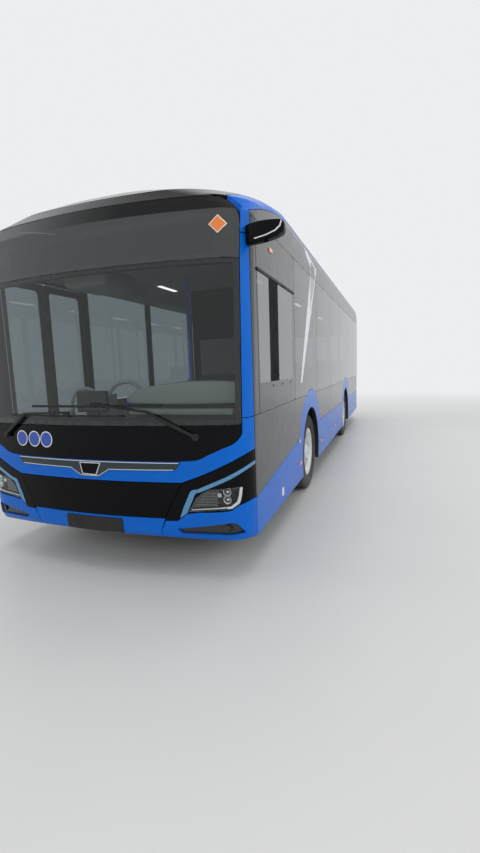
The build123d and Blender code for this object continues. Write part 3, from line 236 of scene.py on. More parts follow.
@dataclass(frozen=True)
class Finish:
    """An opaque finish with drifting colour and gloss, fine relief and settled dust.

    Attributes:
        name: Material name.
        colour: Linear base colour.
        roughness: Mean roughness.
        metallic: 1 for bare metal.
        coat: Clear coat weight.
        specular: Specular level.
        drift: Share by which the colour drifts.
        drift_scale: Cells of the drift per metre.
        relief: Kind of small relief.
        scale: Cells of the relief per metre.
        depth: Height of the relief in metres.
        dust: Share of dust near the ground.
        sheen: Cloth sheen.
    """

    name: str
    colour: Colour
    roughness: float
    metallic: float = 0.0
    coat: float = 0.0
    specular: float = 0.5
    drift: float = 0.08
    drift_scale: float = 2.0
    relief: Relief = Relief.NONE
    scale: float = 400.0
    depth: float = 0.0004
    dust: float = 0.0
    sheen: float = 0.0

    DUST = (0.30, 0.28, 0.25)

    def build(self) -> bpy.types.Material:
        """Makes the material.

        Returns:
            The material.
        """
        material = bpy.data.materials.new(self.name)
        nodes = Nodes(material)
        shader = nodes.add(
            "BsdfPrincipled", Metallic=self.metallic, Coat_Weight=self.coat, Coat_Roughness=0.04,
            Specular_IOR_Level=self.specular, Sheen_Weight=self.sheen,
        )
        light = tuple(min(1.0, c * (1 + self.drift)) for c in self.colour)
        dark = tuple(c * (1 - self.drift) for c in self.colour)
        colour = nodes.blend(nodes.noise(self.drift_scale), dark, light)
        if self.dust:
            colour = nodes.blend(self._dust(nodes), colour, self.DUST)
        nodes.join(colour, shader.inputs["Base Color"])
        low, high = self.roughness * 0.85, min(1.0, self.roughness * 1.2)
        rough = nodes.spread(nodes.noise(self.drift_scale * 4, 4), low, high)
        nodes.join(rough, shader.inputs["Roughness"])
        if self.relief is not Relief.NONE:
            bump = nodes.add("Bump", Strength=0.6, Distance=self.depth)
            nodes.join(self._height(nodes), bump.inputs["Height"])
            nodes.join(bump.outputs["Normal"], shader.inputs["Normal"])
        nodes.show(shader.outputs["BSDF"])
        return material

    def _dust(self, nodes: Nodes) -> Socket:
        """Share of dust, most near the ground.

        Args:
            nodes: The nodes that it is added to.

        Returns:
            The share.
        """
        axes = nodes.add("SeparateXYZ")
        nodes.join(nodes.place(), axes.inputs["Vector"])
        low = nodes.spread(axes.outputs["Z"], self.dust, self.dust * 0.08, 0.2, 0.9)
        return nodes.both("MULTIPLY", low, nodes.spread(nodes.noise(7, 5), 0.3, 1.0))

    def _height(self, nodes: Nodes) -> Socket:
        """Height of the small relief.

        Args:
            nodes: The nodes that it is added to.

        Returns:
            The height.
        """
        if self.relief is Relief.BRUSHED:
            mapping = nodes.add("Mapping", Scale=(0.03, 1, 1))
            nodes.join(nodes.place(), mapping.inputs["Vector"])
            return nodes.noise(self.scale, 2, mapping.outputs["Vector"])
        if self.relief in (Relief.WEAVE, Relief.RIBBED):
            wave = nodes.add("TexWave", Scale=self.scale, Distortion=0.0)
            wave.bands_direction = "DIAGONAL" if self.relief is Relief.WEAVE else "X"
            nodes.join(nodes.place(), wave.inputs["Vector"])
            return wave.outputs["Fac"]
        if self.relief is Relief.GRAIN:
            cells = nodes.add("TexVoronoi", Scale=self.scale)
            nodes.join(nodes.place(), cells.inputs["Vector"])
            return cells.outputs["Distance"]
        return nodes.noise(self.scale, 6 if self.relief is Relief.CAST else 1)


@dataclass(frozen=True)
class Pane:
    """A clear or tinted glass that lets lamps through.

    Attributes:
        name: Material name.
        tint: Share of each colour that one face of the pane lets through.
        clear: Share that passes the body of the glass.
        ior: Index of the outer face, high enough to stand for the mirrored light of both.
    """

    name: str
    tint: Colour
    clear: float
    ior: float

    BODY = (0.004, 0.005, 0.006, 1)

    def build(self) -> bpy.types.Material:
        """Makes the material.

        Returns:
            The material.
        """
        material = bpy.data.materials.new(self.name)
        nodes = Nodes(material)
        backing = nodes.add("NewGeometry").outputs["Backfacing"]
        body = nodes.add("BsdfDiffuse", Color=self.BODY).outputs["BSDF"]
        through = nodes.add("BsdfTransparent", Color=(*self.tint, 1)).outputs["BSDF"]
        inner = nodes.mix(nodes.spread(backing, self.clear, 1, 0, 1), body, through)
        mirror = nodes.add("BsdfGlossy", Color=(0.95, 0.96, 0.97, 1))
        nodes.join(nodes.spread(nodes.noise(6, 4), 0.01, 0.04), mirror.inputs["Roughness"])
        edge = nodes.add("Fresnel", IOR=self.ior).outputs["Fac"]
        share = nodes.both("MULTIPLY", edge, nodes.spread(backing, 1, 0, 0, 1))
        nodes.show(nodes.mix(share, inner, mirror.outputs["BSDF"]))
        return material


@dataclass(frozen=True)
class Glow:
    """A softly lit plastic.

    Attributes:
        name: Material name.
        colour: Its colour.
        strength: Emission strength.
    """

    name: str
    colour: Colour
    strength: float

    def build(self) -> bpy.types.Material:
        """Makes the material.

        Returns:
            The material.
        """
        material = bpy.data.materials.new(self.name)
        nodes = Nodes(material)
        shader = nodes.add(
            "BsdfPrincipled", Roughness=0.2, Emission_Color=(*self.colour, 1),
            Emission_Strength=self.strength,
        )
        colour = nodes.blend(nodes.noise(30), self.colour, tuple(c * 0.9 for c in self.colour))
        nodes.join(colour, shader.inputs["Base Color"])
        nodes.show(shader.outputs["BSDF"])
        return material


Look = Finish | Pane | Glow

PEEL = {"relief": Relief.PEEL, "scale": 150, "depth": 0.000008}
GRAIN = {"relief": Relief.GRAIN, "scale": 500, "depth": 0.00008}
LENS = {"coat": 1.0, "relief": Relief.RIBBED, "scale": 60, "depth": 0.0003}
BRUSHED = {"relief": Relief.BRUSHED, "scale": 300, "depth": 0.00001}
CLOTH = {"drift": 0.4, "drift_scale": 60, "relief": Relief.WEAVE, "scale": 500, "depth": 0.0004}
SIGN = {"coat": 0.3, "drift": 0.03}

BLUE = Finish("vivid_blue_paint", (0.0, 0.118, 0.54), 0.24, coat=0.06, specular=0.14, drift=0.04, dust=0.012,
              **PEEL | {"scale": 120})
DARK_SIDE = Finish("dark_grey_paint", (0.019, 0.021, 0.024), 0.22, coat=0.2, specular=0.4, drift=0.06,
                   dust=0.015, **PEEL | {"scale": 120})
GLOSS_BLACK = Finish("gloss_black_panel", (0.0025, 0.0027, 0.0035), 0.10, specular=0.1, drift=0.05, **PEEL)
GLOSS_DOME = Finish("gloss_dome", (0.011, 0.011, 0.0115), 0.14, specular=0.9, drift=0.05, **PEEL)
STRIPE = Finish("pale_stripe", (0.62, 0.68, 0.74), 0.3, coat=0.5, drift=0.03, dust=0.03,
                **PEEL | {"scale": 180})
ROOF = Finish("roof_paint", (0.50, 0.52, 0.55), 0.5, relief=Relief.PEEL, scale=120, depth=0.00003, dust=0.1)
WHEEL = Finish("white_wheel", (0.66, 0.67, 0.68), 0.38, metallic=0.1, coat=0.2, relief=Relief.PEEL, scale=150,
               depth=0.00003, dust=0.2)
POLE = Finish("pole_powder_coat", (0.02, 0.16, 0.62), 0.35, coat=0.4, relief=Relief.PEEL, depth=0.00003)
TRIM = Finish("moulded_black", (0.010, 0.010, 0.011), 0.55, specular=0.35, dust=0.05,
              **GRAIN | {"scale": 700})
LINING = Finish("wall_lining", (0.30, 0.31, 0.32), 0.6, **GRAIN)
CEILING = Finish("ceiling_panel", (0.30, 0.315, 0.31), 0.6, **GRAIN)
DASH = Finish("dashboard_moulding", (0.33, 0.37, 0.35), 0.6, relief=Relief.GRAIN, scale=600, depth=0.00015)
SEAT_SHELL = Finish("seat_shell", (0.08, 0.09, 0.10), 0.5, relief=Relief.GRAIN, scale=700, depth=0.0001)
FLOOR = Finish("flecked_floor", (0.12, 0.125, 0.13), 0.7, drift=0.35, drift_scale=150, relief=Relief.GRAIN,
               scale=300, depth=0.0002)
RUBBER = Finish("tyre_rubber", (0.012, 0.012, 0.0125), 0.75, drift=0.2, drift_scale=6, relief=Relief.GRAIN,
                depth=0.0002, dust=0.25)
REFLECTOR = Finish("pale_reflector", (0.85, 0.86, 0.86), 0.12, coat=1.0, relief=Relief.GRAIN, scale=300,
                   depth=0.0003)
LAMP_BLACK = Finish("lamp_housing", (0.012, 0.012, 0.014), 0.25, coat=0.3)
LAMP_RED = Finish("red_lens", (0.35, 0.008, 0.012), 0.12, **LENS)
LAMP_AMBER = Finish("amber_lens", (0.55, 0.14, 0.01), 0.12, **LENS)
MARKER = Finish("amber_marker", (0.80, 0.20, 0.01), 0.15, **LENS | {"scale": 120})
LAMP_CHROME = Finish("lamp_reflector", (0.80, 0.81, 0.83), 0.14, metallic=1.0, drift=0.03)
LAMP_GREY = Finish("lamp_bezel", (0.030, 0.031, 0.030), 0.35, coat=0.3, drift=0.05)
LAMP_RIB = Finish("lamp_rib", (0.13, 0.135, 0.13), 0.35, metallic=0.5, drift=0.05)
STEEL_STRIP = Finish("steel_blue_strip", (0.08, 0.25, 0.45), 0.28, metallic=0.2, coat=0.3, drift=0.03)
CHROME = Finish("bright_strip", (0.72, 0.75, 0.79), 0.16, metallic=1.0, drift=0.03, **BRUSHED)
DARK_CHROME = Finish("dark_chrome", (0.045, 0.055, 0.060), 0.2, metallic=0.7, drift=0.05, **BRUSHED)
CHANNEL = Finish("window_channel", (0.005, 0.006, 0.008), 0.6, specular=0.04)
RAIL = Finish("grey_rail", (0.36, 0.37, 0.38), 0.3, coat=0.4, drift=0.04)
CHASSIS = Finish("chassis_paint", (0.020, 0.021, 0.023), 0.5, relief=Relief.CAST, scale=40, depth=0.0003,
                 dust=0.3)
CASTING = Finish("cast_steel", (0.06, 0.06, 0.062), 0.6, metallic=0.5, relief=Relief.CAST, scale=90,
                 depth=0.0006, dust=0.35)
SEAT_CLOTH = Finish("seat_cloth", (0.02, 0.06, 0.20), 0.9, sheen=0.4, **CLOTH)
CAB_CLOTH = Finish("driver_seat_cloth", (0.02, 0.022, 0.027), 0.9, sheen=0.3, **CLOTH)
SIGN_PALE = Finish("sign_border", (0.80, 0.80, 0.78), 0.4, **SIGN)
SIGN_BLUE = Finish("sign_blue", (0.004, 0.05, 0.36), 0.35, **SIGN)
SIGN_ORANGE = Finish("sign_orange", (0.72, 0.19, 0.02), 0.35, **SIGN)
CLEAR = Pane("clear_glass", (0.94, 0.96, 0.955), 0.98, 1.5)
DARK = Pane("privacy_glass", (0.50, 0.54, 0.56), 0.9, 2.1)
SCREEN = Pane("windscreen_glass", (0.78, 0.81, 0.80), 0.97, 1.5)
DISPLAY = Pane("display_glass", (0.42, 0.43, 0.45), 0.8, 1.8)
BRIGHT_PANE = Pane("driver_window", (0.62, 0.66, 0.70), 0.9, 4.0)
CABIN_LIGHT = Glow("cabin_light", (1.0, 0.98, 0.94), 1.6)

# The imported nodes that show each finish
DRESSING = (
    (BLUE, "front_panel front_bumper cant_rails roof_fairings skirt_panels rear_bumper"),
    (GLOSS_BLACK, "front_gloss_panels lamp_surrounds"),
    (GLOSS_DOME, "front_dome"),
    (DARK_SIDE, "lower_side_panels upper_side_panels rear_wall rear_flap"),
    (TRIM, "mask_frame plate_holder window_pillars steering_wheel wipers front_door_fore_leaf"),
    (TRIM, "front_door_aft_leaf middle_door_fore_leaf middle_door_aft_leaf"),
    (DARK, "side_glass rear_window front_door_fore_glass front_door_aft_glass"),
    (DARK, "middle_door_fore_glass middle_door_aft_glass"),
    (SCREEN, "windscreen"),
    (DISPLAY, "display_glass"),
    (CLEAR, "headlamp_lenses"),
    (STEEL_STRIP, "light_strips"),
    (DARK_CHROME, "front_trim"),
    (LAMP_BLACK, "headlamps fog_lamps"),
    (LAMP_RED, "rear_lamps"),
    (ROOF, "roof roof_units"),
    (CEILING, "ceiling"),
    (FLOOR, "floor"),
    (CHASSIS, "underframe drive_motor"),
    (CASTING, "front_axle knuckle_left knuckle_right rear_axle"),
    (WHEEL, "front_rim_left front_rim_right rear_rims_left rear_rims_right"),
    (POLE, "grab_poles"),
    (DASH, "dashboard"),
)


class Finishes:
    """Builds each finish once and hands it out."""

    def __init__(self) -> None:
        """Starts with none built."""
        self.made: dict[str, bpy.types.Material] = {}

    def dress(self, piece: Piece, finish: Look) -> None:
        """Gives a piece one finish all over.

        Args:
            piece: The piece.
            finish: Its finish.
        """
        if finish.name not in self.made:
            self.made[finish.name] = finish.build()
        piece.data.materials.clear()
        piece.data.materials.append(self.made[finish.name])


# Modelling


class Edit:
    """Edit mode on one object, with everything else left alone."""

    def __init__(self, piece: Piece) -> None:
        """Keeps the piece."""
        self.piece = piece

    def __enter__(self) -> "Edit":
        """Enters edit mode on the piece alone, with all its vertices picked.

        Returns:
            The same edit.
        """
        alone(self.piece)
        bpy.ops.object.mode_set(mode="EDIT")
        bpy.ops.mesh.select_mode(type="VERT")
        bpy.ops.mesh.select_all(action="SELECT")
        return self

    def __exit__(self, *_: object) -> None:
        """Leaves edit mode."""
        bpy.ops.object.mode_set(mode="OBJECT")

    def cut(self, axis: int, places: Iterable[float], **how: bool) -> None:
        """Cuts the whole mesh.

        Args:
            axis: 0, 1 or 2 for X, Y or Z.
            places: Where the cuts cross that axis.
            **how: Options of the bisect operator.
        """
        normal = [float(i == axis) for i in range(3)]
        for place in places:
            bpy.ops.mesh.select_all(action="SELECT")
            bpy.ops.mesh.bisect(plane_co=[place * n for n in normal], plane_no=normal, **how)

    def pick(self, test: Test, kind: str = "FACE") -> None:
        """Selects only the elements that pass a test.

        Args:
            test: Reads an element's centre and normal.
            kind: FACE or VERT.
        """
        bpy.ops.mesh.select_mode(type=kind)
        bpy.ops.mesh.select_all(action="DESELECT")
        mesh = bmesh.from_edit_mesh(self.piece.data)
        mesh.normal_update()
        for element in mesh.faces if kind == "FACE" else mesh.verts:
            centre = element.calc_center_median() if kind == "FACE" else element.co
            if test(centre, element.normal):
                element.select_set(True)
        mesh.select_flush_mode()
        bmesh.update_edit_mesh(self.piece.data)

    def inset(self, test: Test, thickness: float, depth: float) -> None:
        """Insets each face that passes a test.

        Args:
            test: Reads a face's centre and normal.
            thickness: Width of the rim left round it.
            depth: How far it moves out, or in where negative.
        """
        self.pick(test)
        bpy.ops.mesh.inset(thickness=thickness, depth=depth, use_individual=True)


def alone(piece: Piece) -> None:
    """Makes a piece the only selected and active object.

    Args:
        piece: The piece.
    """
    bpy.ops.object.select_all(action="DESELECT")
    piece.select_set(True)
    bpy.context.view_layer.objects.active = piece


def settle(piece: Piece, name: str) -> Piece:
    """Names a piece and puts its place into its mesh.

    Args:
        piece: The object just made.
        name: Its name.

    Returns:
        The same object.
    """
    piece.name = piece.data.name = name
    alone(piece)
    bpy.ops.object.transform_apply(location=True, rotation=True, scale=True)
    return piece


def modify(piece: Piece, kind: str, **values: object) -> None:
    """Adds a modifier and applies it.

    Args:
        piece: The piece.
        kind: The modifier's type.
        **values: Its settings.
    """
    alone(piece)
    modifier = piece.modifiers.new(kind.lower(), kind)
    for key, value in values.items():
        setattr(modifier, key, value)
    bpy.ops.object.modifier_apply(modifier=modifier.name)


def smooth(piece: Piece, angle: float = 35.0) -> None:
    """Shades a piece smooth below an angle in degrees."""
    alone(piece)
    bpy.ops.object.shade_smooth_by_angle(angle=math.radians(angle))


def turn(piece: Piece, degrees: float, axis: str, pivot: Point = (0, 0, 0)) -> None:
    """Turns a piece's mesh about an axis through a pivot."""
    move = Matrix.Translation(pivot)
    piece.data.transform(move @ Matrix.Rotation(math.radians(degrees), 4, axis) @ move.inverted())


def box(name: str, low: Point, high: Point, bevel: float = 0.0, segments: int = 3) -> Piece:
    """A box with rounded edges.

    Args:
        name: Piece name.
        low: Lowest corner.
        high: Highest corner.
        bevel: Edge radius.
        segments: Steps round each edge.

    Returns:
        The piece.
    """
    centre = [(a + b) / 2 for a, b in zip(low, high)]
    bpy.ops.object.select_all(action="DESELECT")
    bpy.ops.mesh.primitive_cube_add(size=1, location=centre, scale=[b - a for a, b in zip(low, high)])
    piece = settle(bpy.context.object, name)
    if bevel:
        modify(piece, "BEVEL", width=bevel, segments=segments)
        smooth(piece)
    return piece


def pillow(name: str, rows: Sequence[Sequence[float]], side: int, bevel: float) -> Piece:
    """A soft body through box-shaped sections.

    Args:
        name: Piece name.
        rows: Sections as (x, low z, high z, front, rear), the last two behind the front face.
        side: 1 on the left, -1 on the right.
        bevel: Edge radius before it is rounded.

    Returns:
        The piece.
    """
    piece = box(name, (rows[0][0], 0, 0), (rows[-1][0], 1, 1))
    with Edit(piece) as edit:
        edit.cut(0, [row[0] for row in rows[1:-1]])
    for vertex in piece.data.vertices:
        _, v, w = vertex.co
        x, low, high, start, end = min(rows, key=lambda row: abs(row[0] - vertex.co.x))
        vertex.co = (side * x, back(start + (end - start) * v), low + (high - low) * w)
    with Edit(piece):
        bpy.ops.mesh.normals_make_consistent(inside=False)
    modify(piece, "BEVEL", width=bevel, segments=2)
    modify(piece, "SUBSURF", levels=2, render_levels=2)
    smooth(piece, 60)
    return piece


def spun(name: str, profile: Loop, at: Point, side: int, steps: int = 96) -> Piece:
    """A profile spun about a line along X.

    Args:
        name: Piece name.
        profile: Closed loop of (across, radius); across points outward.
        at: Centre of the line.
        side: 1 on the left, -1 on the right.
        steps: Steps round.

    Returns:
        The piece.
    """
    bpy.ops.object.select_all(action="DESELECT")
    bpy.ops.mesh.primitive_plane_add(size=0.001, location=(0, 0, 0))
    piece = bpy.context.object
    with Edit(piece):
        bpy.ops.mesh.merge(type="CENTER")
        here = (side * profile[0][0], 0, profile[0][1])
        bpy.ops.transform.translate(value=here)
        for across, radius in profile[1:]:
            there = (side * across, 0, radius)
            step = [b - a for a, b in zip(here, there)]
            bpy.ops.mesh.extrude_region_move(TRANSFORM_OT_translate={"value": step})
            here = there
        bpy.ops.mesh.select_all(action="SELECT")
        bpy.ops.mesh.spin(steps=steps, angle=2 * math.pi, center=(0, 0, 0), axis=(1, 0, 0))
        bpy.ops.mesh.select_all(action="SELECT")
        bpy.ops.mesh.remove_doubles(threshold=0.00005)
        bpy.ops.mesh.normals_make_consistent(inside=False)
    piece.location = at
    settle(piece, name)
    smooth(piece, 30)
    return piece


def joined(name: str, pieces: Iterable[Piece]) -> Piece:
    """Joins pieces into one.

    Args:
        name: Name of the result.
        pieces: What is joined.

    Returns:
        The joined piece.
    """
    pieces = list(pieces)
    alone(pieces[0])
    for piece in pieces:
        piece.select_set(True)
    bpy.ops.object.join()
    return settle(bpy.context.object, name)


def copied(piece: Piece, name: str, matrix: Matrix) -> Piece:
    """A moved copy with its own mesh.

    Args:
        piece: What is copied.
        name: Name of the copy.
        matrix: Where it goes.

    Returns:
        The copy.
    """
    other = piece.copy()
    other.data = piece.data.copy()
    bpy.context.scene.collection.objects.link(other)
    other.matrix_world = matrix
    return settle(other, name)


class Skin:
    """The bus's outer surface, worked out from its heights, widths and bows."""

    # Columns: height, half width
    WIDTHS = (
        (0.0, 1.275), (2.72, 1.275), (2.84, 1.272), (2.94, 1.266), (3.02, 1.246), (3.075, 1.205),
        (3.09, 1.15),
    )
    # Columns: height, distance behind the foremost place
    FRONT_BACKS = (
        (0.287, 0.04), (0.357, 0.005), (0.48, 0.0), (0.905, 0.0), (2.365, 0.078), (2.72, 0.12), (2.84, 0.18),
    )
    # Columns: height, distance ahead of the rearmost place
    REAR_INS = (
        (0.287, 0.02), (0.357, 0.0), (0.905, 0.0), (2.365, 0.03), (2.72, 0.045), (2.84, 0.05), (2.94, 0.06),
    )
    FRONT_BOW, FRONT_CORNER = 5.0, 0.26
    REAR_BOW, REAR_CORNER = 12.0, 0.22

    @staticmethod
    def between(table: Loop, z: float) -> float:
        """Reads a table of (height, value), straight between its rows.

        Args:
            table: Rows in rising height.
            z: Height.

        Returns:
            The value at that height.
        """
        if z <= table[0][0]:
            return table[0][1]
        for (low, first), (high, second) in zip(table, table[1:]):
            if z <= high:
                return first + (second - first) * (z - low) / (high - low)
        return table[-1][1]

    @staticmethod
    def bowed(x: float, bow: float, corner: float) -> float:
        """How far a bowed end falls back at a place across it.

        Args:
            x: Place across the bus.
            bow: Radius of the end.
            corner: Radius of its corners.

        Returns:
            The distance behind the middle of the end.
        """
        middle = HALF - corner
        centre = bow - math.sqrt((bow - corner) ** 2 - middle**2)
        limit = middle * bow / (bow - corner)
        if abs(x) <= limit:
            return bow - math.sqrt(bow**2 - x**2)
        over = min(abs(x) - middle, corner)
        return centre - math.sqrt(corner**2 - over**2)

    @classmethod
    def left(cls, y: float, z: float, lift: float) -> Point:
        """A point on the left side."""
        return (cls.between(cls.WIDTHS, z) + lift, y, z)

    @classmethod
    def right(cls, y: float, z: float, lift: float) -> Point:
        """A point on the right side."""
        return (-cls.between(cls.WIDTHS, z) - lift, y, z)

    @classmethod
    def front(cls, x: float, z: float, lift: float) -> Point:
        """A point on the front."""
        behind = cls.between(cls.FRONT_BACKS, z) + cls.bowed(x, cls.FRONT_BOW, cls.FRONT_CORNER)
        return (x, FRONT + behind - lift, z)

    @classmethod
    def rear(cls, x: float, z: float, lift: float) -> Point:
        """A point on the rear."""
        ahead = cls.between(cls.REAR_INS, z) + cls.bowed(x, cls.REAR_BOW, cls.REAR_CORNER)
        return (x, REAR - ahead + lift, z)


def ring(centre: Pair, radius: float, count: int = 32) -> list[Pair]:
    """Corners of a round outline."""
    turns = [2 * math.pi * i / count for i in range(count)]
    return [(centre[0] + radius * math.cos(t), centre[1] + radius * math.sin(t)) for t in turns]


def rectangle(low: Pair, high: Pair, radius: float) -> list[Pair]:
    """Corners of a rectangle with rounded corners.

    Args:
        low: Its lowest corner.
        high: Its highest corner.
        radius: Radius of its corners.

    Returns:
        The outline.
    """
    points = []
    corners = ((high[0], high[1], 0), (low[0], high[1], 90), (low[0], low[1], 180), (high[0], low[1], 270))
    for x, z, start in corners:
        cx = x - math.copysign(radius, x - (low[0] + high[0]) / 2)
        cz = z - math.copysign(radius, z - (low[1] + high[1]) / 2)
        for step in range(6):
            angle = math.radians(start + step * 18)
            points.append((cx + radius * math.cos(angle), cz + radius * math.sin(angle)))
    return points


def sided(loop: Loop, side: int) -> list[Pair]:
    """An outline of the left side, mirrored where side is -1."""
    return [(side * x, z) for x, z in loop]


def stuck(name: str, loop: Loop, onto: Onto, lift: float = 0.0003, thick: float = 0.0008,
          cell: float = 0.12) -> Piece:
    """A thin piece of a given outline laid on the bus's surface.

    Args:
        name: Piece name.
        loop: Outline as (along, height).
        onto: Gives the surface's point for (along, height, lift).
        lift: Gap under the piece.
        thick: Its thickness.
        cell: Longest span along it before it is cut to follow the surface.

    Returns:
        The piece.
    """
    bpy.ops.object.select_all(action="DESELECT")
    bpy.ops.mesh.primitive_circle_add(vertices=len(loop), radius=1, fill_type="NGON")
    piece = bpy.context.object
    for vertex, (along, height) in zip(piece.data.vertices, loop):
        vertex.co = (along, height, 0)
    low = min(along for along, _ in loop)
    high = max(along for along, _ in loop)
    count = max(1, int((high - low) / cell))
    with Edit(piece) as edit:
        edit.cut(0, [low + (high - low) * i / count for i in range(1, count)])
    for vertex in piece.data.vertices:
        vertex.co = onto(vertex.co.x, vertex.co.y, lift)
    with Edit(piece):
        bpy.ops.mesh.normals_make_consistent(inside=False)
    piece.data.update()
    middle = [sum(values) / len(loop) for values in zip(*loop)]
    outward = Vector(onto(*middle, 1)) - Vector(onto(*middle, 0))
    if sum((face.normal for face in piece.data.polygons), Vector()).dot(outward) < 0:
        with Edit(piece):
            bpy.ops.mesh.flip_normals()
    modify(piece, "SOLIDIFY", thickness=thick, offset=1.0)
    return settle(piece, name)


# Sub-assemblies


@dataclass
class Group:
    """A sub-assembly, whose pieces take their materials from one place.

    Attributes:
        finishes: Where materials come from.
    """

    finishes: Finishes

    def add(self, piece: Piece, finish: Look, body: str = "body", instead: str = "") -> None:
        """Dresses a finished piece and puts it on its body.

        Args:
            piece: The piece.
            finish: Its finish.
            body: The body that it rides on.
            instead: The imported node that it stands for, if any.
        """
        self.finishes.dress(piece, finish)
        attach(piece, body)
        if instead:
            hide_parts(instead)
        LOG.info("%s: %d faces", piece.name, len(piece.data.polygons))

    def lay(self, name: str, loop: Loop, onto: Onto, finish: Look, body: str = "body", **how: float) -> None:
        """Lays a thin piece on the surface, with stuck's lift, thick and cell where given."""
        self.add(stuck(name, loop, onto, **how), finish, body)


@dataclass
class Running(Group):
    """Tyres with road tread on every wheel.

    Attributes:
        groove: Depth of the tread grooves.
        block: Depth of the notches in the shoulders.
        blocks: Tread blocks round a tyre.
    """

    groove: float = 0.012
    block: float = 0.007
    blocks: int = 96

    # From bead to tread. Columns: distance from the tyre's side, height over the rim
    WALL = (
        (0.038, 0.001), (0.030, 0.019), (0.008, 0.045), (0.001, 0.080), (0.003, 0.084), (0.001, 0.088),
        (0.002, 0.125), (0.009, 0.158), (0.018, 0.176), (0.028, 0.187), (0.040, 0.191),
    )
    GROOVES = (-0.062, -0.021, 0.021, 0.062)

    def profile(self) -> list[Pair]:
        """Closed section of one tyre with its grooves.

        Returns:
            The section as (across, radius).
        """
        low = TYRE_RADIUS - self.groove
        groove = ((-0.006, TYRE_RADIUS), (-0.004, low), (0.004, low), (0.006, TYRE_RADIUS))
        wall = [(inward - TYRE_WIDTH / 2, RIM_RADIUS + rise) for inward, rise in self.WALL]
        tread = [(x + across, radius) for x in self.GROOVES for across, radius in groove]
        bead = [(x, RIM_RADIUS + 0.012) for x in (0.05, -0.05)]
        return [*wall, *tread, *sided(wall[::-1], -1), *bead, wall[0]]

    def tyre(self, name: str, x: float, y: float, side: int) -> Piece:
        """One tyre, with every third block of both shoulders sunk.

        Args:
            name: Piece name.
            x: Its middle across the bus.
            y: Its axle.
            side: 1 on the left.

        Returns:
            The tyre.
        """
        piece = spun(name, self.profile(), (x, y, HUB_Z), side)

        def shoulder(centre: Vector, _: Vector) -> bool:
            """Tells the faces that are sunk.

            Args:
                centre: A face's centre.

            Returns:
                True on every third block of both shoulders.
            """
            radius = math.hypot(centre.y - y, centre.z - HUB_Z)
            angle = math.atan2(centre.z - HUB_Z, centre.y - y) % (2 * math.pi)
            block = int(angle / (2 * math.pi) * self.blocks)
            return radius > TYRE_RADIUS - 0.008 and 0.066 < abs(centre.x - x) < 0.125 and block % 3 == 0

        with Edit(piece) as edit:
            edit.pick(shoulder)
            bpy.ops.mesh.extrude_region_shrink_fatten(TRANSFORM_OT_shrink_fatten={"value": -self.block})
        smooth(piece, 30)
        return piece

    def build(self) -> None:
        """Makes all the tyres."""
        for side, name in SIDES:
            front = self.tyre(f"front_road_tyre_{name}", side * FRONT_WHEEL_X, FRONT_AXLE, side)
            self.add(front, RUBBER, f"wheel_front_{name}", f"front_tyre_{name}")
            twins = [
                self.tyre(f"tyre_{name}_{i}", side * x, REAR_AXLE, side)
                for i, x in enumerate((TWIN_OUTER_X, TWIN_INNER_X))
            ]
            rear = joined(f"rear_road_tyres_{name}", twins)
            self.add(rear, RUBBER, f"wheels_rear_{name}", f"rear_tyres_{name}")


@dataclass
class WheelFaces(Group):
    """Nuts on the outer wheels.

    Attributes:
        nuts: Number of nuts.
        circle: Radius of the nut circle.
        size: Radius of a nut over its corners.
        height: Height of a nut.
        stud: How far its stud end stands out.
    """

    nuts: int = 10
    circle: float = 0.1675
    size: float = 0.019
    height: float = 0.024
    stud: float = 0.010

    # Columns: label, seat of the nuts across the bus, axle, body
    PLACES = (
        ("front", FRONT_WHEEL_X + 0.069, FRONT_AXLE, "wheel_front"),
        ("rear", TWIN_OUTER_X - 0.085, REAR_AXLE, "wheels_rear"),
    )

    def nut(self, name: str, x: float, y: float, side: int) -> Piece:
        """A hexagonal nut with a stud end.

        Args:
            name: Piece name.
            x: Its seat.
            y: Its axle.
            side: 1 on the left.

        Returns:
            The nut, at the top of the nut circle.
        """
        bpy.ops.object.select_all(action="DESELECT")
        bpy.ops.mesh.primitive_cylinder_add(
            vertices=6, radius=self.size, depth=self.height, rotation=(0, side * math.pi / 2, 0),
            location=(x + side * self.height / 2, y, HUB_Z + self.circle),
        )
        piece = settle(bpy.context.object, name)
        with Edit(piece) as edit:
            edit.inset(lambda _, normal: normal.x * side > FLAT, 0.008, 0.0)
            bpy.ops.mesh.extrude_region_move(TRANSFORM_OT_translate={"value": (side * self.stud, 0, 0)})
        modify(piece, "BEVEL", width=0.0015, segments=2)
        return piece

    def build(self) -> None:
        """Makes the nuts for the four outer wheels."""
        for label, x, y, body in self.PLACES:
            axle = Matrix.Translation((0, y, HUB_Z))
            for side, name in SIDES:
                first = self.nut(f"{label}_nut_{name}", side * x, y, side)
                nuts = [first]
                for number in range(1, self.nuts):
                    move = axle @ Matrix.Rotation(2 * math.pi * number / self.nuts, 4, "X") @ axle.inverted()
                    nuts.append(copied(first, f"nut_{number}", move))
                self.add(joined(f"{label}_nuts_{name}", nuts), CHROME, f"{body}_{name}")


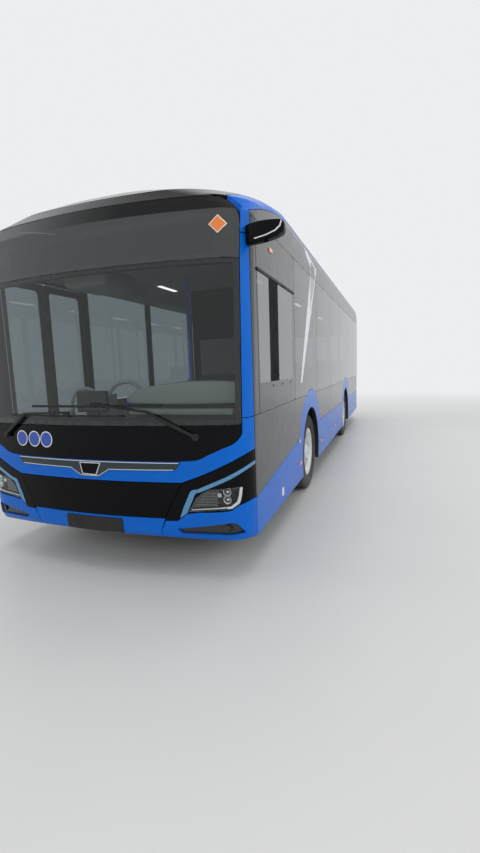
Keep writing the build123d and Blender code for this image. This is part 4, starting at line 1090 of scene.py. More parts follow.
@dataclass
class FrontSigns(Group):
    """Bare signs, the seam under the display glass and the bright strip's edges.

    Attributes:
        disc_radius: Radius of the round signs.
        disc_z: Their height.
        diamond: Centre of the diamond sign.
    """

    disc_radius: float = 0.066
    disc_z: float = 1.066
    diamond: Pair = (1.080, 2.610)

    DISCS = (-0.721, -0.572, -0.433)
    # Columns: name, half width, gap under it, finish
    DIAMONDS = (("diamond_edge", 0.064, 0.0003, SIGN_PALE), ("diamond_face", 0.057, 0.0012, SIGN_ORANGE))
    SEAM = ((-1.10, 2.3732), (1.10, 2.3732), (1.10, 2.3788), (-1.10, 2.3788))
    STRIP_TOP = ((0.762, 0.911), (-0.762, 0.911), (-0.758, 0.906), (0.758, 0.906))
    STRIP_LOW = (
        (0.718, 0.854), (0.180, 0.848), (0.084, 0.791), (-0.084, 0.791), (-0.180, 0.848), (-0.718, 0.854),
    )
    BADGE = ((0.109, 0.899), (-0.091, 0.899), (-0.071, 0.803), (0.062, 0.797))

    def build(self) -> None:
        """Lays every piece on its glass or panel."""
        for number, x in enumerate(self.DISCS):
            rim, face = (ring((x, self.disc_z), self.disc_radius * share) for share in (1, 0.88))
            self.lay(f"sign_rim_{number}", rim, Skin.front, SIGN_PALE)
            self.lay(f"sign_disc_{number}", face, Skin.front, SIGN_BLUE, lift=0.0012)
        x, z = self.diamond
        for name, half, lift, finish in self.DIAMONDS:
            loop = [(x + half, z), (x, z + half), (x - half, z), (x, z - half)]
            self.lay(name, loop, Skin.front, finish, lift=lift, cell=0.02)
        self.lay("screen_seam", self.SEAM, Skin.front, DARK_CHROME, lift=-0.0005, thick=0.002, cell=0.05)
        self.strip()

    def strip(self) -> None:
        """Bright edges of the dark strip under the screen, round its bare badge place."""
        lower = [*self.STRIP_LOW, *((x * 0.997, z + 0.005) for x, z in reversed(self.STRIP_LOW))]
        middle = [sum(values) / len(self.BADGE) for values in zip(*self.BADGE)]
        inner = [(x + (middle[0] - x) * 0.10, z + (middle[1] - z) * 0.14) for x, z in self.BADGE]
        for name, loop, lift, finish in (
            ("strip_top_edge", self.STRIP_TOP, 0.0062, CHROME),
            ("strip_low_edge", lower, 0.0062, CHROME),
            ("badge_rim", self.BADGE, 0.0062, CHROME),
            ("badge_place", inner, 0.0074, GLOSS_BLACK),
        ):
            self.lay(name, loop, Skin.front, finish, lift=lift, cell=0.05)


@dataclass
class HeadLamps(Group):
    """What shows behind the lamp lenses, and the fog lamps' glasses.

    Attributes:
        ribs: Number of light ribs beside the bowls.
        rib_low: Height of the lowest rib.
        rib_step: Height from rib to rib.
    """

    ribs: int = 5
    rib_low: float = 0.578
    rib_step: float = 0.022

    BEZEL = ((0.835, 0.556), (0.904, 0.562), (1.030, 0.568), (1.040, 0.704), (0.972, 0.690), (0.890, 0.638))
    RIM = (
        (0.822, 0.533), (0.904, 0.539), (1.020, 0.547), (1.136, 0.556), (1.187, 0.594), (1.199, 0.650),
        (1.205, 0.712), (1.188, 0.712), (1.181, 0.655), (1.169, 0.606), (1.128, 0.573), (1.020, 0.563),
        (0.904, 0.555), (0.832, 0.549),
    )
    # Columns: place across the left half, height, radius, how far the rim lies behind the surface
    BOWLS = ((1.108, 0.685, 0.031, 0.012), (1.108, 0.624, 0.031, 0.012), (1.050, 0.660, 0.018, 0.022))
    FOG = (1.105, 0.396, 0.030, 0.006)
    # Section of a bowl. Columns: place along its axis, share of its radius
    SECTION = (
        (0.0, 1.0), (-0.001, 0.9), (-0.018, 0.55), (-0.020, 0.42), (-0.013, 0.40), (-0.006, 0.28),
        (-0.003, 0.0), (-0.028, 0.0), (-0.028, 1.0), (0.0, 1.0),
    )

    def bowl(self, name: str, side: int, row: tuple[float, float, float, float]) -> Piece:
        """A reflector bowl with a lens in its middle.

        Args:
            name: Piece name.
            side: 1 on the left.
            row: Its place across the left half, height, radius and depth behind the surface.

        Returns:
            The bowl, facing forwards.
        """
        x, z, radius, depth = row
        piece = spun(name, [(along, radius * share) for along, share in self.SECTION], (0, 0, 0), 1, steps=40)
        turn(piece, -90, "Z")
        piece.data.transform(Matrix.Translation(Skin.front(side * x, z, -depth)))
        return piece

    def rib(self, number: int, side: int) -> Piece:
        """One light rib.

        Args:
            number: Its number from the lowest.
            side: 1 on the left.

        Returns:
            The rib.
        """
        start, z = 0.850 + 0.017 * number, self.rib_low + self.rib_step * number
        loop = ((start, z), (1.026, z), (1.026, z + 0.006), (start + 0.005, z + 0.006))
        return stuck(f"rib_{number}", sided(loop, side), Skin.front, -0.0335, 0.004, 0.03)

    def build(self) -> None:
        """Makes both lamp groups."""
        for side, name in SIDES:
            for label, loop, lift, thick, finish in (
                ("bezel", self.BEZEL, -0.034, 0.003, LAMP_GREY),
                ("rim", self.RIM, -0.016, 0.007, LAMP_CHROME),
            ):
                self.lay(
                    f"lamp_{label}_{name}", sided(loop, side), Skin.front, finish, lift=lift, thick=thick,
                    cell=0.03,
                )
            ribs = joined(f"lamp_ribs_{name}", [self.rib(number, side) for number in range(self.ribs)])
            self.add(ribs, LAMP_RIB)
            bowls = [self.bowl(f"bowl_{number}", side, row) for number, row in enumerate(self.BOWLS)]
            self.add(joined(f"lamp_bowls_{name}", bowls), LAMP_CHROME)
            self.add(self.bowl(f"fog_glass_{name}", side, self.FOG), DARK_CHROME)


@dataclass
class CameraPods(Group):
    """Drooping camera pods in place of mirrors, each with a chrome strip that paints the highlight along its
    lower edge and tip.

    Attributes:
        bevel: Edge radius of a pod before it is rounded.
        highlight_strip: Thickness of the chrome strip that stands for the painted highlight.
    """

    bevel: float = 0.022
    highlight_strip: float = 0.008

    # Sections from the pillar out, as pillow reads them
    SECTIONS = (
        (1.242, 2.472, 2.612, 0.336, 0.388),
        (1.330, 2.472, 2.618, 0.300, 0.388),
        (1.430, 2.482, 2.614, 0.280, 0.384),
        (1.520, 2.502, 2.602, 0.270, 0.374),
        (1.545, 2.524, 2.588, 0.284, 0.360),
    )
    # Path of the painted highlight: a chrome strip along the pod's lower edge and up its tip, where a
    # highlight shows
    HIGHLIGHT_LINE = ((1.330, 2.494), (1.420, 2.504), (1.490, 2.522), (1.524, 2.548), (1.534, 2.580))

    @staticmethod
    def face(x: float, z: float, lift: float) -> Point:
        """A point on the front of a pod."""
        return (x, back(0.272 + max(0.0, 1.50 - abs(x)) * 0.17) - lift, z)

    def build(self) -> None:
        """Makes both pods."""
        for side, name in SIDES:
            pod = pillow(f"camera_pod_{name}", self.SECTIONS, side, self.bevel)
            # A chrome strip laid on the pod's front as a painted highlight
            loop = [*self.HIGHLIGHT_LINE, *((x - 0.008, z + 0.007) for x, z in reversed(self.HIGHLIGHT_LINE))]
            highlight_strip = stuck(f"pod_painted_highlight_{name}", sided(loop, side), self.face, 0.0, self.highlight_strip, 0.02)
            self.add(pod, GLOSS_BLACK, instead="mirror_pods")
            self.add(highlight_strip, CHROME, instead="mirror_pods")


@dataclass
class SideMarks(Group):
    """Stripe, markers, reflectors and the driver's window, along both sides.

    Attributes:
        screw_z: Height of the three screws under the driver's window.
        screw_radius: Radius of their heads.
    """

    screw_z: float = 1.434
    screw_radius: float = 0.011

    # Columns: distance behind the front, height
    STRIPE = (
        (2.480, 2.965), (2.700, 2.940), (3.290, 2.855), (2.205, 1.400), (2.118, 1.400), (2.864, 2.795),
        (2.550, 2.900),
    )
    MARKERS = {"left": (2.036, 3.552, 5.2, 6.4, 8.0, 9.9), "right": (2.036, 3.552, 6.4, 8.0, 9.9)}
    REFLECTORS = {"left": (1.182, 9.3), "right": (9.3,)}
    SCREWS = (0.917, 1.266, 1.598)
    # Columns: name, places, heights, corner radius, finish, thickness
    LEFT_PANELS = (
        ("skirt_lock", (1.955, 2.02), (0.730, 0.775), 0.01, CHROME, 0.012),
        ("window_print_low", (0.492, 1.828), (1.241, 1.472), 0.004, DARK_SIDE, 0.0008),
        ("window_print_high", (0.492, 1.828), (2.352, 2.690), 0.004, DARK_SIDE, 0.0008),
        ("window_print_rear", (1.700, 1.828), (1.472, 2.352), 0.004, DARK_SIDE, 0.0008),
        ("window_pane_fore", (0.502, 0.822), (1.472, 2.322), 0.01, BRIGHT_PANE, 0.003),
        ("window_pane_aft", (1.128, 1.695), (1.472, 2.322), 0.01, BRIGHT_PANE, 0.003),
        ("window_channel", (0.830, 1.120), (1.472, 2.322), 0.01, CHANNEL, 0.002),
        ("drip_strip", (0.49, 1.80), (2.328, 2.350), 0.008, TRIM, 0.010),
        ("side_lamp", (0.86, 0.96), (2.545, 2.577), 0.01, MARKER, 0.008),
    )

    def panel(self, onto: Onto, name: str, places: Pair, heights: Pair,
              radius: float, finish: Look, thick: float) -> None:
        """Lays one rounded rectangle.

        Args:
            onto: The side's surface.
            name: Piece name.
            places: Where it starts and ends behind the front.
            heights: Its lower and upper edge.
            radius: Radius of its corners.
            finish: Its finish.
            thick: Its thickness.
        """
        loop = rectangle((back(places[0]), heights[0]), (back(places[1]), heights[1]), radius)
        self.lay(name, loop, onto, finish, thick=thick)

    def build(self) -> None:
        """Lays every mark on its side."""
        for side, onto in (("left", Skin.left), ("right", Skin.right)):
            for label, places, half, heights, radius, finish, thick in (
                ("marker", self.MARKERS, 0.05, (0.470, 0.506), 0.01, MARKER, 0.008),
                ("reflector", self.REFLECTORS, 0.03, (0.36, 0.44), 0.008, REFLECTOR, 0.005),
            ):
                for number, s in enumerate(places[side]):
                    name, ends = f"{label}_{side}_{number}", (s - half, s + half)
                    self.panel(onto, name, ends, heights, radius, finish, thick)
        self.lay("pale_stripe_left", [(back(s), z) for s, z in self.STRIPE], Skin.left, STRIPE)
        for row in self.LEFT_PANELS:
            self.panel(Skin.left, *row)
        for number, s in enumerate(self.SCREWS):
            loop = ring((back(s), self.screw_z), self.screw_radius, 16)
            self.lay(f"window_screw_{number}", loop, Skin.left, TRIM, thick=0.003)


@dataclass
class Arches(Group):
    """Black edges inside the wheel arches and linings along the saloon's walls.

    Attributes:
        radius: Radius of an arch.
        lining_x: Inner and outer face of a lining.
        lining_z: Its lower and upper edge.
    """

    radius: float = 0.582
    lining_x: Pair = (1.2145, 1.2235)
    lining_z: Pair = (0.62, 1.305)

    # Distances behind the front between which each lining runs
    RUNS = {
        "left": ((1.80, 2.16), (3.39, 6.555), (7.785, 10.20)),
        "right": ((1.74, 2.16), (3.39, 4.52), (5.90, 6.555), (7.785, 10.20)),
    }

    def build(self) -> None:
        """Makes the edges and the linings."""
        outer, inner = self.radius - 0.0002, self.radius - 0.004
        profile = ((1.224, outer), (1.224, inner), (1.270, inner), (1.2745, outer), (1.224, outer))
        for side, name in SIDES:
            for axle, y in (("front", FRONT_AXLE), ("rear", REAR_AXLE)):
                edge = spun(f"arch_edge_{axle}_{name}", profile, (0, y, HUB_Z), side, steps=120)
                with Edit(edge) as edit:
                    edit.cut(2, [SKIRT_LOW], clear_inner=True, use_fill=True)
                self.add(edge, TRIM)
        for side, name in SIDES:
            for number, run in enumerate(self.RUNS[name]):
                self.lining(f"lining_{name}_{number}", side, *run)

    def lining(self, name: str, side: int, start: float, end: float) -> None:
        """One lining with sunk fields of about a metre.

        Args:
            name: Piece name.
            side: 1 on the left.
            start: Where it starts behind the front.
            end: Where it ends.
        """
        x, z = sorted(side * face for face in self.lining_x), self.lining_z
        panel = box(name, (x[0], back(start), z[0]), (x[1], back(end), z[1]), 0.003)
        with Edit(panel) as edit:
            edit.cut(1, [back(start + step) for step in range(1, int(end - start))])
            edit.inset(lambda _, normal: normal.x * side < -FLAT, 0.012, -0.002)
        self.add(panel, LINING)


@dataclass
class Cabin(Group):
    """Ceiling lamps, the driver's fittings and the board behind the display glass.

    Attributes:
        lamp_x: Middle of the lamp rows across the bus.
        rail: Radius of the hand rails' tube.
        rail_place: Distance of the rails behind the front.
        large: Edge radius from which a box gets a finer edge.
    """

    lamp_x: float = 0.62
    rail: float = 0.016
    rail_place: float = 0.56
    large: float = 0.03

    # Distances of the lamps behind the front
    LAMPS = (1.1, 2.4, 3.7, 5.0, 6.3, 7.6, 8.9)
    # Bowed rails: place across the bus, height of the feet, radius of the bow
    RAILS = ((0.01, 1.30, 0.205), (-0.43, 1.29, 0.165))
    # Sections of the instrument cover, as pillow reads them
    COVER = (
        (0.120, 1.330, 1.375, 0.380, 0.470),
        (0.220, 1.325, 1.440, 0.340, 0.475),
        (0.500, 1.320, 1.500, 0.320, 0.475),
        (0.850, 1.320, 1.510, 0.335, 0.475),
        (1.080, 1.320, 1.500, 0.390, 0.480),
        (1.180, 1.325, 1.480, 0.405, 0.470),
    )
    # Columns: name, sides, distances behind the front, heights, edge radius, finish
    AT_SCREEN = (
        ("cab_monitor_foot", (-0.27, -0.17), (0.375, 0.415), (1.15, 1.27), 0.006, LAMP_BLACK),
        ("cab_monitor", (-0.37, -0.07), (0.35, 0.42), (1.255, 1.44), 0.015, LAMP_BLACK),
        ("display_board", (-0.98, 0.98), (0.372, 0.392), (2.44, 2.70), 0.004, CHANNEL),
    )
    ROUND_DRIVER = (
        ("cab_partition", (0.17, 1.19), (1.665, 1.690), (0.52, 2.44), 0.006, CHANNEL),
        ("instrument_shelf", (0.16, 1.10), (0.35, 0.46), (1.235, 1.285), 0.015, DASH),
        ("instrument_base", (0.20, 1.12), (0.40, 0.47), (1.15, 1.345), 0.008, LAMP_BLACK),
        ("cab_post", (0.105, 0.145), (1.655, 1.695), (0.52, 2.60), 0.012, POLE),
        ("overhead_console", (-0.58, -0.12), (0.55, 1.05), (2.36, 2.52), 0.04, CEILING),
    )
    # Sunk fields. Columns: axis and places of the cuts, faces that are sunk (-1 ahead, 1 behind), rim, depth
    FIELDS = {
        "cab_monitor": (0, (), (-1,), 0.012, -0.004),
        "cab_partition": (2, (1.20, 1.80), (-1, 1), 0.035, -0.004),
        "instrument_base": (0, (0.43, 0.66, 0.89), (-1,), 0.012, -0.006),
    }

    def arc(self, name: str, at: Point, radius: float) -> Piece:
        """A bowed hand rail.

        Args:
            name: Piece name.
            at: Middle of its feet.
            radius: Its bow.

        Returns:
            The rail.
        """
        bpy.ops.object.select_all(action="DESELECT")
        bpy.ops.mesh.primitive_torus_add(
            major_radius=radius, minor_radius=self.rail, major_segments=64, minor_segments=14,
            rotation=(math.pi / 2, 0, 0),
        )
        piece = settle(bpy.context.object, name)
        with Edit(piece) as edit:
            edit.cut(2, [0], clear_inner=True, use_fill=True)
        piece.data.transform(Matrix.Translation(at))
        smooth(piece, 40)
        return piece

    def ceiling_lamps(self) -> Piece:
        """Both rows of lamps under the ceiling.

        Returns:
            The lamps.
        """
        lamps = []
        for number, s in enumerate(self.LAMPS):
            for side in (-1, 1):
                low = (side * self.lamp_x - 0.03, back(s), 2.672)
                high = (side * self.lamp_x + 0.03, back(s + 0.45), 2.679)
                lamps.append(box(f"lamp_{number}_{side}", low, high, 0.003))
        return joined("ceiling_lamps", lamps)

    def rails(self) -> Piece:
        """Both bowed rails on their legs.

        Returns:
            The rails.
        """
        place = back(self.rail_place)
        pieces = [self.arc(f"rail_{i}", (x, place, z), bow) for i, (x, z, bow) in enumerate(self.RAILS)]
        for x, _, bow in self.RAILS:
            for foot in (x - bow, x + bow):
                low, high = (foot - 0.015, place - 0.015, 1.165), (foot + 0.015, place + 0.015, 1.303)
                pieces.append(box("rail_leg", low, high, 0.008))
        return joined("cab_rails", pieces)

    def fitting(self, name: str, x: Pair, y: Pair, z: Pair, bevel: float, finish: Look) -> None:
        """One box of the cab, with its sunk fields.

        Args:
            name: Piece name.
            x: Its sides.
            y: Its faces behind the front.
            z: Its lower and upper face.
            bevel: Edge radius.
            finish: Its finish.
        """
        steps = 4 if bevel >= self.large else 3
        piece = box(name, (x[0], back(y[0]), z[0]), (x[1], back(y[1]), z[1]), bevel, steps)
        if name in self.FIELDS:
            axis, cuts, faces, rim, depth = self.FIELDS[name]
            with Edit(piece) as edit:
                edit.cut(axis, cuts)
                edit.inset(lambda _, normal: any(face * normal.y > FLAT for face in faces), rim, depth)
        self.add(piece, finish)

    def build(self) -> None:
        """Makes the cabin's pieces."""
        self.add(self.ceiling_lamps(), CABIN_LIGHT)
        for row in self.AT_SCREEN:
            self.fitting(*row)
        self.add(self.rails(), RAIL)
        for row in self.ROUND_DRIVER:
            self.fitting(*row)
        self.add(pillow("instrument_cover", self.COVER, 1, 0.035), DASH)


@dataclass
class Doors(Group):
    """Rubber edges where the leaves meet.

    Attributes:
        outer: Outer face of a rubber.
        inner: Its inner face.
        low: Its lower end.
        high: Its upper end.
    """

    outer: float = -1.2775
    inner: float = -1.2705
    low: float = 0.36
    high: float = 2.46

    # Columns: leaf, distances behind the front between which the rubber lies
    EDGES = (
        ("front_door_fore", 1.012, 1.0265),
        ("front_door_aft", 1.0435, 1.058),
        ("middle_door_fore", 5.189, 5.2035),
        ("middle_door_aft", 5.2205, 5.235),
    )

    def build(self) -> None:
        """Makes the rubbers, each with one groove, riding on its leaf."""
        for leaf, start, end in self.EDGES:
            low, high = (self.outer, back(start), self.low), (self.inner, back(end), self.high)
            edge = box(f"{leaf}_rubber", low, high, 0.002)
            with Edit(edge) as edit:
                edit.inset(lambda _, normal: normal.x < -FLAT, 0.003, -0.0015)
            self.add(edge, RUBBER, leaf)


@dataclass
class Rear(Group):
    """Lamp glasses and reflectors at the back, the high brake lamp, and the flap's louvres and handle.

    Attributes:
        proud: How far a sunk piece stands out.
        louvres: Number of louvres.
        louvre_step: Height from louvre to louvre.
    """

    proud: float = 0.0007
    louvres: int = 9
    louvre_step: float = 0.042

    # Columns: name, sides on the left, heights, corner radius, finish, gap under it, thickness
    LAMPS = (
        ("indicator", (1.010, 1.120), (1.085, 1.195), 0.02, LAMP_AMBER, 0.0007, 0.002),
        ("reverse", (1.010, 1.120), (0.985, 1.065), 0.02, REFLECTOR, 0.0007, 0.002),
        ("rear_reflector", (0.62, 0.72), (0.40, 0.46), 0.01, LAMP_RED, -0.0023, 0.003),
    )

    def sunk(self, name: str, half: float, heights: Pair, radius: float, finish: Look,
             thick: float, body: str) -> None:
        """Lays one rounded rectangle in the middle, sunk until it stands a little proud.

        Args:
            name: Piece name.
            half: Half its width.
            heights: Its lower and upper edge.
            radius: Radius of its corners.
            finish: Its finish.
            thick: Its thickness.
            body: The body that it rides on.
        """
        loop = rectangle((-half, heights[0]), (half, heights[1]), radius)
        self.lay(name, loop, Skin.rear, finish, body, lift=self.proud - thick, thick=thick, cell=0.05)

    def build(self) -> None:
        """Makes the rear's small pieces."""
        for side, name in SIDES:
            for label, ends, heights, radius, finish, lift, thick in self.LAMPS:
                x = sorted(side * end for end in ends)
                loop = rectangle((x[0], heights[0]), (x[1], heights[1]), radius)
                self.lay(f"{label}_{name}", loop, Skin.rear, finish, lift=lift, thick=thick, cell=0.05)
        self.sunk("high_brake_lamp", 0.20, (2.56, 2.60), 0.012, LAMP_RED, 0.004, "body")
        self.sunk("flap_handle", 0.09, (0.70, 0.735), 0.012, TRIM, 0.006, "rear_flap")
        for number in range(self.louvres):
            z = 0.86 + number * self.louvre_step
            self.sunk(f"flap_louvre_{number}", 0.55, (z, z + 0.016), 0.006, TRIM, 0.005, "rear_flap")


@dataclass
class RoofDetails(Group):
    """Lids and fans on the roof units.

    Attributes:
        margin: Rim of a unit left free round its lid.
        lid: Thickness of a lid.
    """

    margin: float = 0.02
    lid: float = 0.006

    # Columns: distance behind the front, length, half width, height, fans
    UNITS = (
        (2.150, 1.500, 0.860, 0.205, 0),
        (3.750, 1.500, 0.860, 0.205, 0),
        (5.350, 2.050, 0.780, 0.220, 3),
        (7.500, 1.950, 0.860, 0.205, 0),
    )
    # Section of a fan, as (across, radius)
    FAN = (
        (0, 0.24), (0, 0.20), (-0.006, 0.19), (-0.006, 0.06), (0, 0.05), (0, 0), (-0.008, 0), (-0.008, 0.24),
        (0, 0.24),
    )

    def build(self) -> None:
        """Makes every lid with its sunk fields, and the fans."""
        for number, (start, length, half, height, fans) in enumerate(self.UNITS):
            top, wide = ROOF_TOP + height, half - self.margin
            low = (-wide, back(start + self.margin), top)
            high = (wide, back(start + length - self.margin), top + self.lid)
            lid = box(f"unit_lid_{number}", low, high, 0.0025)
            with Edit(lid) as edit:
                edit.cut(1, [back(start + length * step / 4) for step in range(1, 4)])
                edit.inset(lambda _, normal: normal.z > FLAT, 0.03, -0.003)
            self.add(lid, ROOF)
            for fan in range(fans):
                piece = spun(f"fan_{fan}", self.FAN, (0, 0, 0), 1, steps=48)
                turn(piece, -90, "Y")
                place = (0, back(start + length * (fan + 0.5) / fans), top + 0.0105)
                piece.data.transform(Matrix.Translation(place))
                self.add(piece, TRIM)


@dataclass
class Seats(Group):
    """Padded passenger seats on slim shells, and the driver's seat.

    Attributes:
        width: Width of one seat.
        pitch: Distance between the middles of a pair.
        lean: Turn of a flat back rest until it stands.
        driver_lean: The same for the driver's.
    """

    width: float = 0.425
    pitch: float = 0.44
    lean: float = 82
    driver_lean: float = 80

    # Pairs of seats. Columns: place across the bus, front edge behind the front, floor
    ROWS = (
        (0.770, 3.780, 0.320),
        (-0.770, 3.780, 0.320),
        (0.770, 4.600, 0.320),
        (0.770, 5.400, 0.320),
        (0.770, 7.860, 0.560),
        (-0.770, 7.860, 0.560),
        (0.770, 8.640, 0.560),
        (-0.770, 8.640, 0.560),
        (0.770, 9.420, 0.560),
        (-0.770, 9.420, 0.560),
    )
    FINISHES = {
        "cushion": SEAT_CLOTH, "rest": SEAT_CLOTH, "shell": SEAT_SHELL, "handle": POLE, "leg": SEAT_SHELL,
    }

    def pad(self, name: str, low: Point, high: Point, crown: float, tip: float = 0.0) -> Piece:
        """A crowned pad whose sides pull in.

        Args:
            name: Piece name.
            low: Lowest corner before it is tipped.
            high: Highest corner before it is tipped.
            crown: How far its middle stands proud.
            tip: Turn about its lower front edge in degrees.

        Returns:
            The pad.
        """
        piece = box(name, low, high)
        with Edit(piece):
            bpy.ops.mesh.subdivide(number_cuts=4)
        centre = Vector([(a + b) / 2 for a, b in zip(low, high)])
        half = Vector([(b - a) / 2 for a, b in zip(low, high)])
        for vertex in piece.data.vertices:
            u, v, w = ((vertex.co[i] - centre[i]) / half[i] for i in range(3))
            swell = (1 - u * u) * (1 - v * v)
            vertex.co.z += crown * swell * (1 if w > 0 else 0.2)
            vertex.co.x -= 0.012 * u * (1 - swell) * (1 - w * w)
        modify(piece, "SUBSURF", levels=1, render_levels=1)
        turn(piece, tip, "X", (centre.x, low[1], low[2]))
        smooth(piece, 60)
        return piece

    def seat(self) -> dict[str, Piece]:
        """One passenger seat at the origin, facing -Y.

        Returns:
            Its pads, shell and handle by their kind.
        """
        half = self.width / 2
        pad = half - 0.01
        cushion = self.pad("model_cushion", (-pad, 0.02, 0.405), (pad, 0.42, 0.455), 0.018, -1)
        rest = self.pad("model_rest", (-pad, 0.40, 0.40), (pad, 1.03, 0.44), 0.015)
        turn(rest, self.lean, "X", (0, 0.40, 0.42))
        shell = box("model_shell", (-half, 0.43, 0.37), (half, 0.455, 1.09), 0.01)
        with Edit(shell) as edit:
            edit.pick(lambda place, _: place.z > 0.9, "VERT")
            bpy.ops.transform.translate(value=(0, 0.085, 0))
        pan = box("model_pan", (-half, 0.03, 0.38), (half, 0.44, 0.402), 0.008)
        handle = box("model_handle", (-half + 0.06, 0.515, 1.075), (half - 0.06, 0.545, 1.105), 0.012)
        shell = joined("model_shell", [shell, pan])
        return {"cushion": cushion, "rest": rest, "shell": shell, "handle": handle}

    def build(self) -> None:
        """Makes every seat."""
        model = self.seat()
        groups: dict[str, list[Piece]] = {kind: [] for kind in self.FINISHES}
        for row, (x, edge, floor) in enumerate(self.ROWS):
            for place in (-0.5, 0.5):
                move = Matrix.Translation((x + place * self.pitch - 0.005, back(edge), floor))
                for kind, piece in model.items():
                    groups[kind].append(copied(piece, f"{kind}_{row}_{place}", move))
            low, high = (x - 0.05, back(edge) + 0.17, floor), (x + 0.05, back(edge) + 0.25, floor + 0.39)
            groups["leg"].append(box(f"leg_{row}", low, high, 0.012))
        for piece in model.values():
            bpy.data.objects.remove(piece)
        for kind, pieces in groups.items():
            piece = joined(f"seat_{kind}s", pieces)
            smooth(piece, 50)
            self.add(piece, self.FINISHES[kind], instead="seats")
        self.driver()

    def driver(self) -> None:
        """The driver's seat with its pads and base."""
        x, y, z = 0.560, back(0.90), 0.78
        cushion = self.pad("driver_cushion", (x - 0.235, y, z), (x + 0.235, y + 0.47, z + 0.095), 0.02, -2)
        low, high = (x - 0.225, y + 0.46, z + 0.10), (x + 0.225, y + 1.10, z + 0.185)
        rest = self.pad("driver_rest", low, high, 0.02)
        turn(rest, self.driver_lean, "X", (x, y + 0.46, z + 0.12))
        base = box("driver_base", (x - 0.16, y + 0.06, 0.501), (x + 0.16, y + 0.38, z - 0.004), 0.02)
        with Edit(base) as edit:
            edit.inset(lambda centre, normal: abs(normal.z) < 0.3 and centre.z > 0.55, 0.02, -0.012)
        for piece, finish in ((cushion, CAB_CLOTH), (rest, CAB_CLOTH), (base, SEAT_SHELL)):
            self.add(piece, finish, instead="driver_seat")


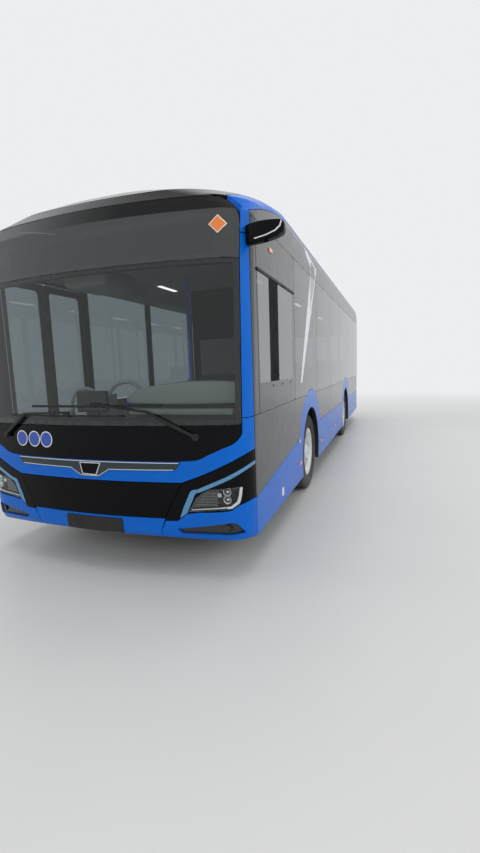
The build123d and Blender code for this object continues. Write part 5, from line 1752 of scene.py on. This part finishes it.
@dataclass
class Studio:
    """Floor, lamps, world and camera.

    Attributes:
        pale: Colour of the background.
        overhead: Its colour straight above, which only mirrored rays see.
        dimming: Heights of a ray's direction between which the one runs into the other.
        fade: Distances from the bus between which the floor runs into the background.
        focal: Focal length of the photograph's camera, in pixels of its size.
        pixels: Longer side of the photograph.
    """

    pale: Colour = (0.84, 0.85, 0.86)
    overhead: Colour = (0.22, 0.22, 0.225)
    dimming: Pair = (0.62, 0.85)
    fade: Pair = (6.0, 16.0)
    focal: float = 433.4
    pixels: float = 853

    # Columns: name, place, aim, size, power
    LAMPS = (
        ("overhead", (0, 0, 9.0), (0, 0, 0), (9, 14), 620),
        ("ahead", (3.5, -15, 6.0), (0, -4, 1.2), (8, 5), 420),
        ("left", (12, -3, 6.5), (0, 0, 1.2), (12, 5), 520),
        ("right", (-12, -3, 6.5), (0, 0, 1.2), (12, 5), 380),
        ("behind", (0, 15, 7.0), (0, 4, 1.2), (8, 5), 300),
    )

    def build(self) -> None:
        """Sets the stage."""
        self.floor()
        self.world()
        self.lamps()
        self.camera()

    def seen(self, nodes: Nodes) -> Socket:
        """Tells the rays that show a thing to the camera, straight on, mirrored or through glass.

        Args:
            nodes: The nodes that it is added to.

        Returns:
            1 for those rays, 0 for the others.
        """
        path = nodes.add("LightPath").outputs
        mirrored = nodes.both("MAXIMUM", path["Is Camera Ray"], path["Is Glossy Ray"])
        return nodes.both("MAXIMUM", mirrored, path["Is Transmission Ray"])

    def floor(self) -> None:
        """A wide pale floor that runs into the background far from the bus."""
        bpy.ops.object.select_all(action="DESELECT")
        bpy.ops.mesh.primitive_plane_add(size=160, location=(0, 0, 0))
        floor = settle(bpy.context.object, "studio_floor")
        material = bpy.data.materials.new("studio_floor")
        nodes = Nodes(material)
        shader = nodes.add("BsdfPrincipled", Roughness=0.4)
        colour = nodes.blend(nodes.noise(0.6), (0.55, 0.545, 0.53), (0.61, 0.605, 0.59))
        nodes.join(colour, shader.inputs["Base Color"])
        distance = nodes.add("VectorMath", operation="LENGTH")
        nodes.join(nodes.place(), distance.inputs[0])
        far = nodes.spread(distance.outputs["Value"], 0, 1, *self.fade)
        glow = nodes.add("Emission", Color=(*self.pale, 1)).outputs["Emission"]
        nodes.show(nodes.mix(nodes.both("MULTIPLY", far, self.seen(nodes)), shader.outputs["BSDF"], glow))
        floor.data.materials.append(material)

    def world(self) -> None:
        """A pale world, brighter where it is seen or mirrored and dimmer overhead."""
        world = bpy.data.worlds.new("studio")
        bpy.context.scene.world = world
        nodes = Nodes(world)
        soft = nodes.add("Background", Color=(0.92, 0.95, 1.0, 1), Strength=0.55).outputs["Background"]
        axes = nodes.add("SeparateXYZ")
        nodes.join(nodes.add("TexCoord").outputs["Generated"], axes.inputs["Vector"])
        height = nodes.spread(axes.outputs["Z"], 0, 1, *self.dimming)
        bright = nodes.add("Background")
        nodes.join(nodes.blend(height, self.pale, self.overhead), bright.inputs["Color"])
        nodes.show(nodes.mix(self.seen(nodes), soft, bright.outputs["Background"]), "OutputWorld")

    def lamps(self) -> None:
        """Soft lamps overhead, ahead, behind and on both sides."""
        for name, place, aim, size, power in self.LAMPS:
            data = bpy.data.lights.new(name, "AREA")
            data.shape = "RECTANGLE"
            data.size, data.size_y = size
            data.energy = power
            lamp = bpy.data.objects.new(name, data)
            bpy.context.scene.collection.objects.link(lamp)
            lamp.visible_glossy = False
            lamp.location = place
            lamp.rotation_euler = (Vector(aim) - Vector(place)).to_track_quat("-Z", "Y").to_euler()

    def camera(self) -> None:
        """The photograph's viewpoint."""
        yaw, pitch, roll = (math.radians(angle) for angle in (19.47, 7.88, -1.95))
        right = Vector((math.cos(yaw), math.sin(yaw), 0))
        ahead = Vector((-math.sin(yaw) * math.cos(pitch), math.cos(yaw) * math.cos(pitch), -math.sin(pitch)))
        up = right.cross(ahead)
        across = math.cos(roll) * right + math.sin(roll) * up
        upward = -math.sin(roll) * right + math.cos(roll) * up
        data = bpy.data.cameras.new("camera")
        data.sensor_width = 36
        data.lens = self.focal * data.sensor_width / self.pixels
        data.clip_start, data.clip_end = 0.05, 200
        camera = bpy.data.objects.new("camera", data)
        bpy.context.scene.collection.objects.link(camera)
        basis = Matrix((across, upward, -ahead)).transposed().to_4x4()
        camera.matrix_world = Matrix.Translation((2.257, -8.062, 1.608)) @ basis
        bpy.context.scene.camera = camera


def dress_nodes(frame: dict, finishes: Finishes) -> None:
    """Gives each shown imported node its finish.

    Args:
        finishes: Where materials come from.
    """
    for finish, names in DRESSING:
        for name in names.split():
            finishes.dress(frame["nodes"][name], finish)


def main() -> None:
    """Builds the whole scene."""
    logging.basicConfig(level=logging.INFO, format="%(name)s: %(message)s")
    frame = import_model()
    bpy.context.scene.view_settings.view_transform = "Standard"
    finishes = Finishes()
    dress_nodes(frame, finishes)
    for group in (
        Running, WheelFaces, FrontSigns, HeadLamps, CameraPods, SideMarks, Arches, Cabin, Doors, Rear,
        RoofDetails, Seats,
    ):
        group(finishes).build()
        LOG.info("%s done", group.__name__)
    Studio().build()


if __name__ == "__main__":
    main()
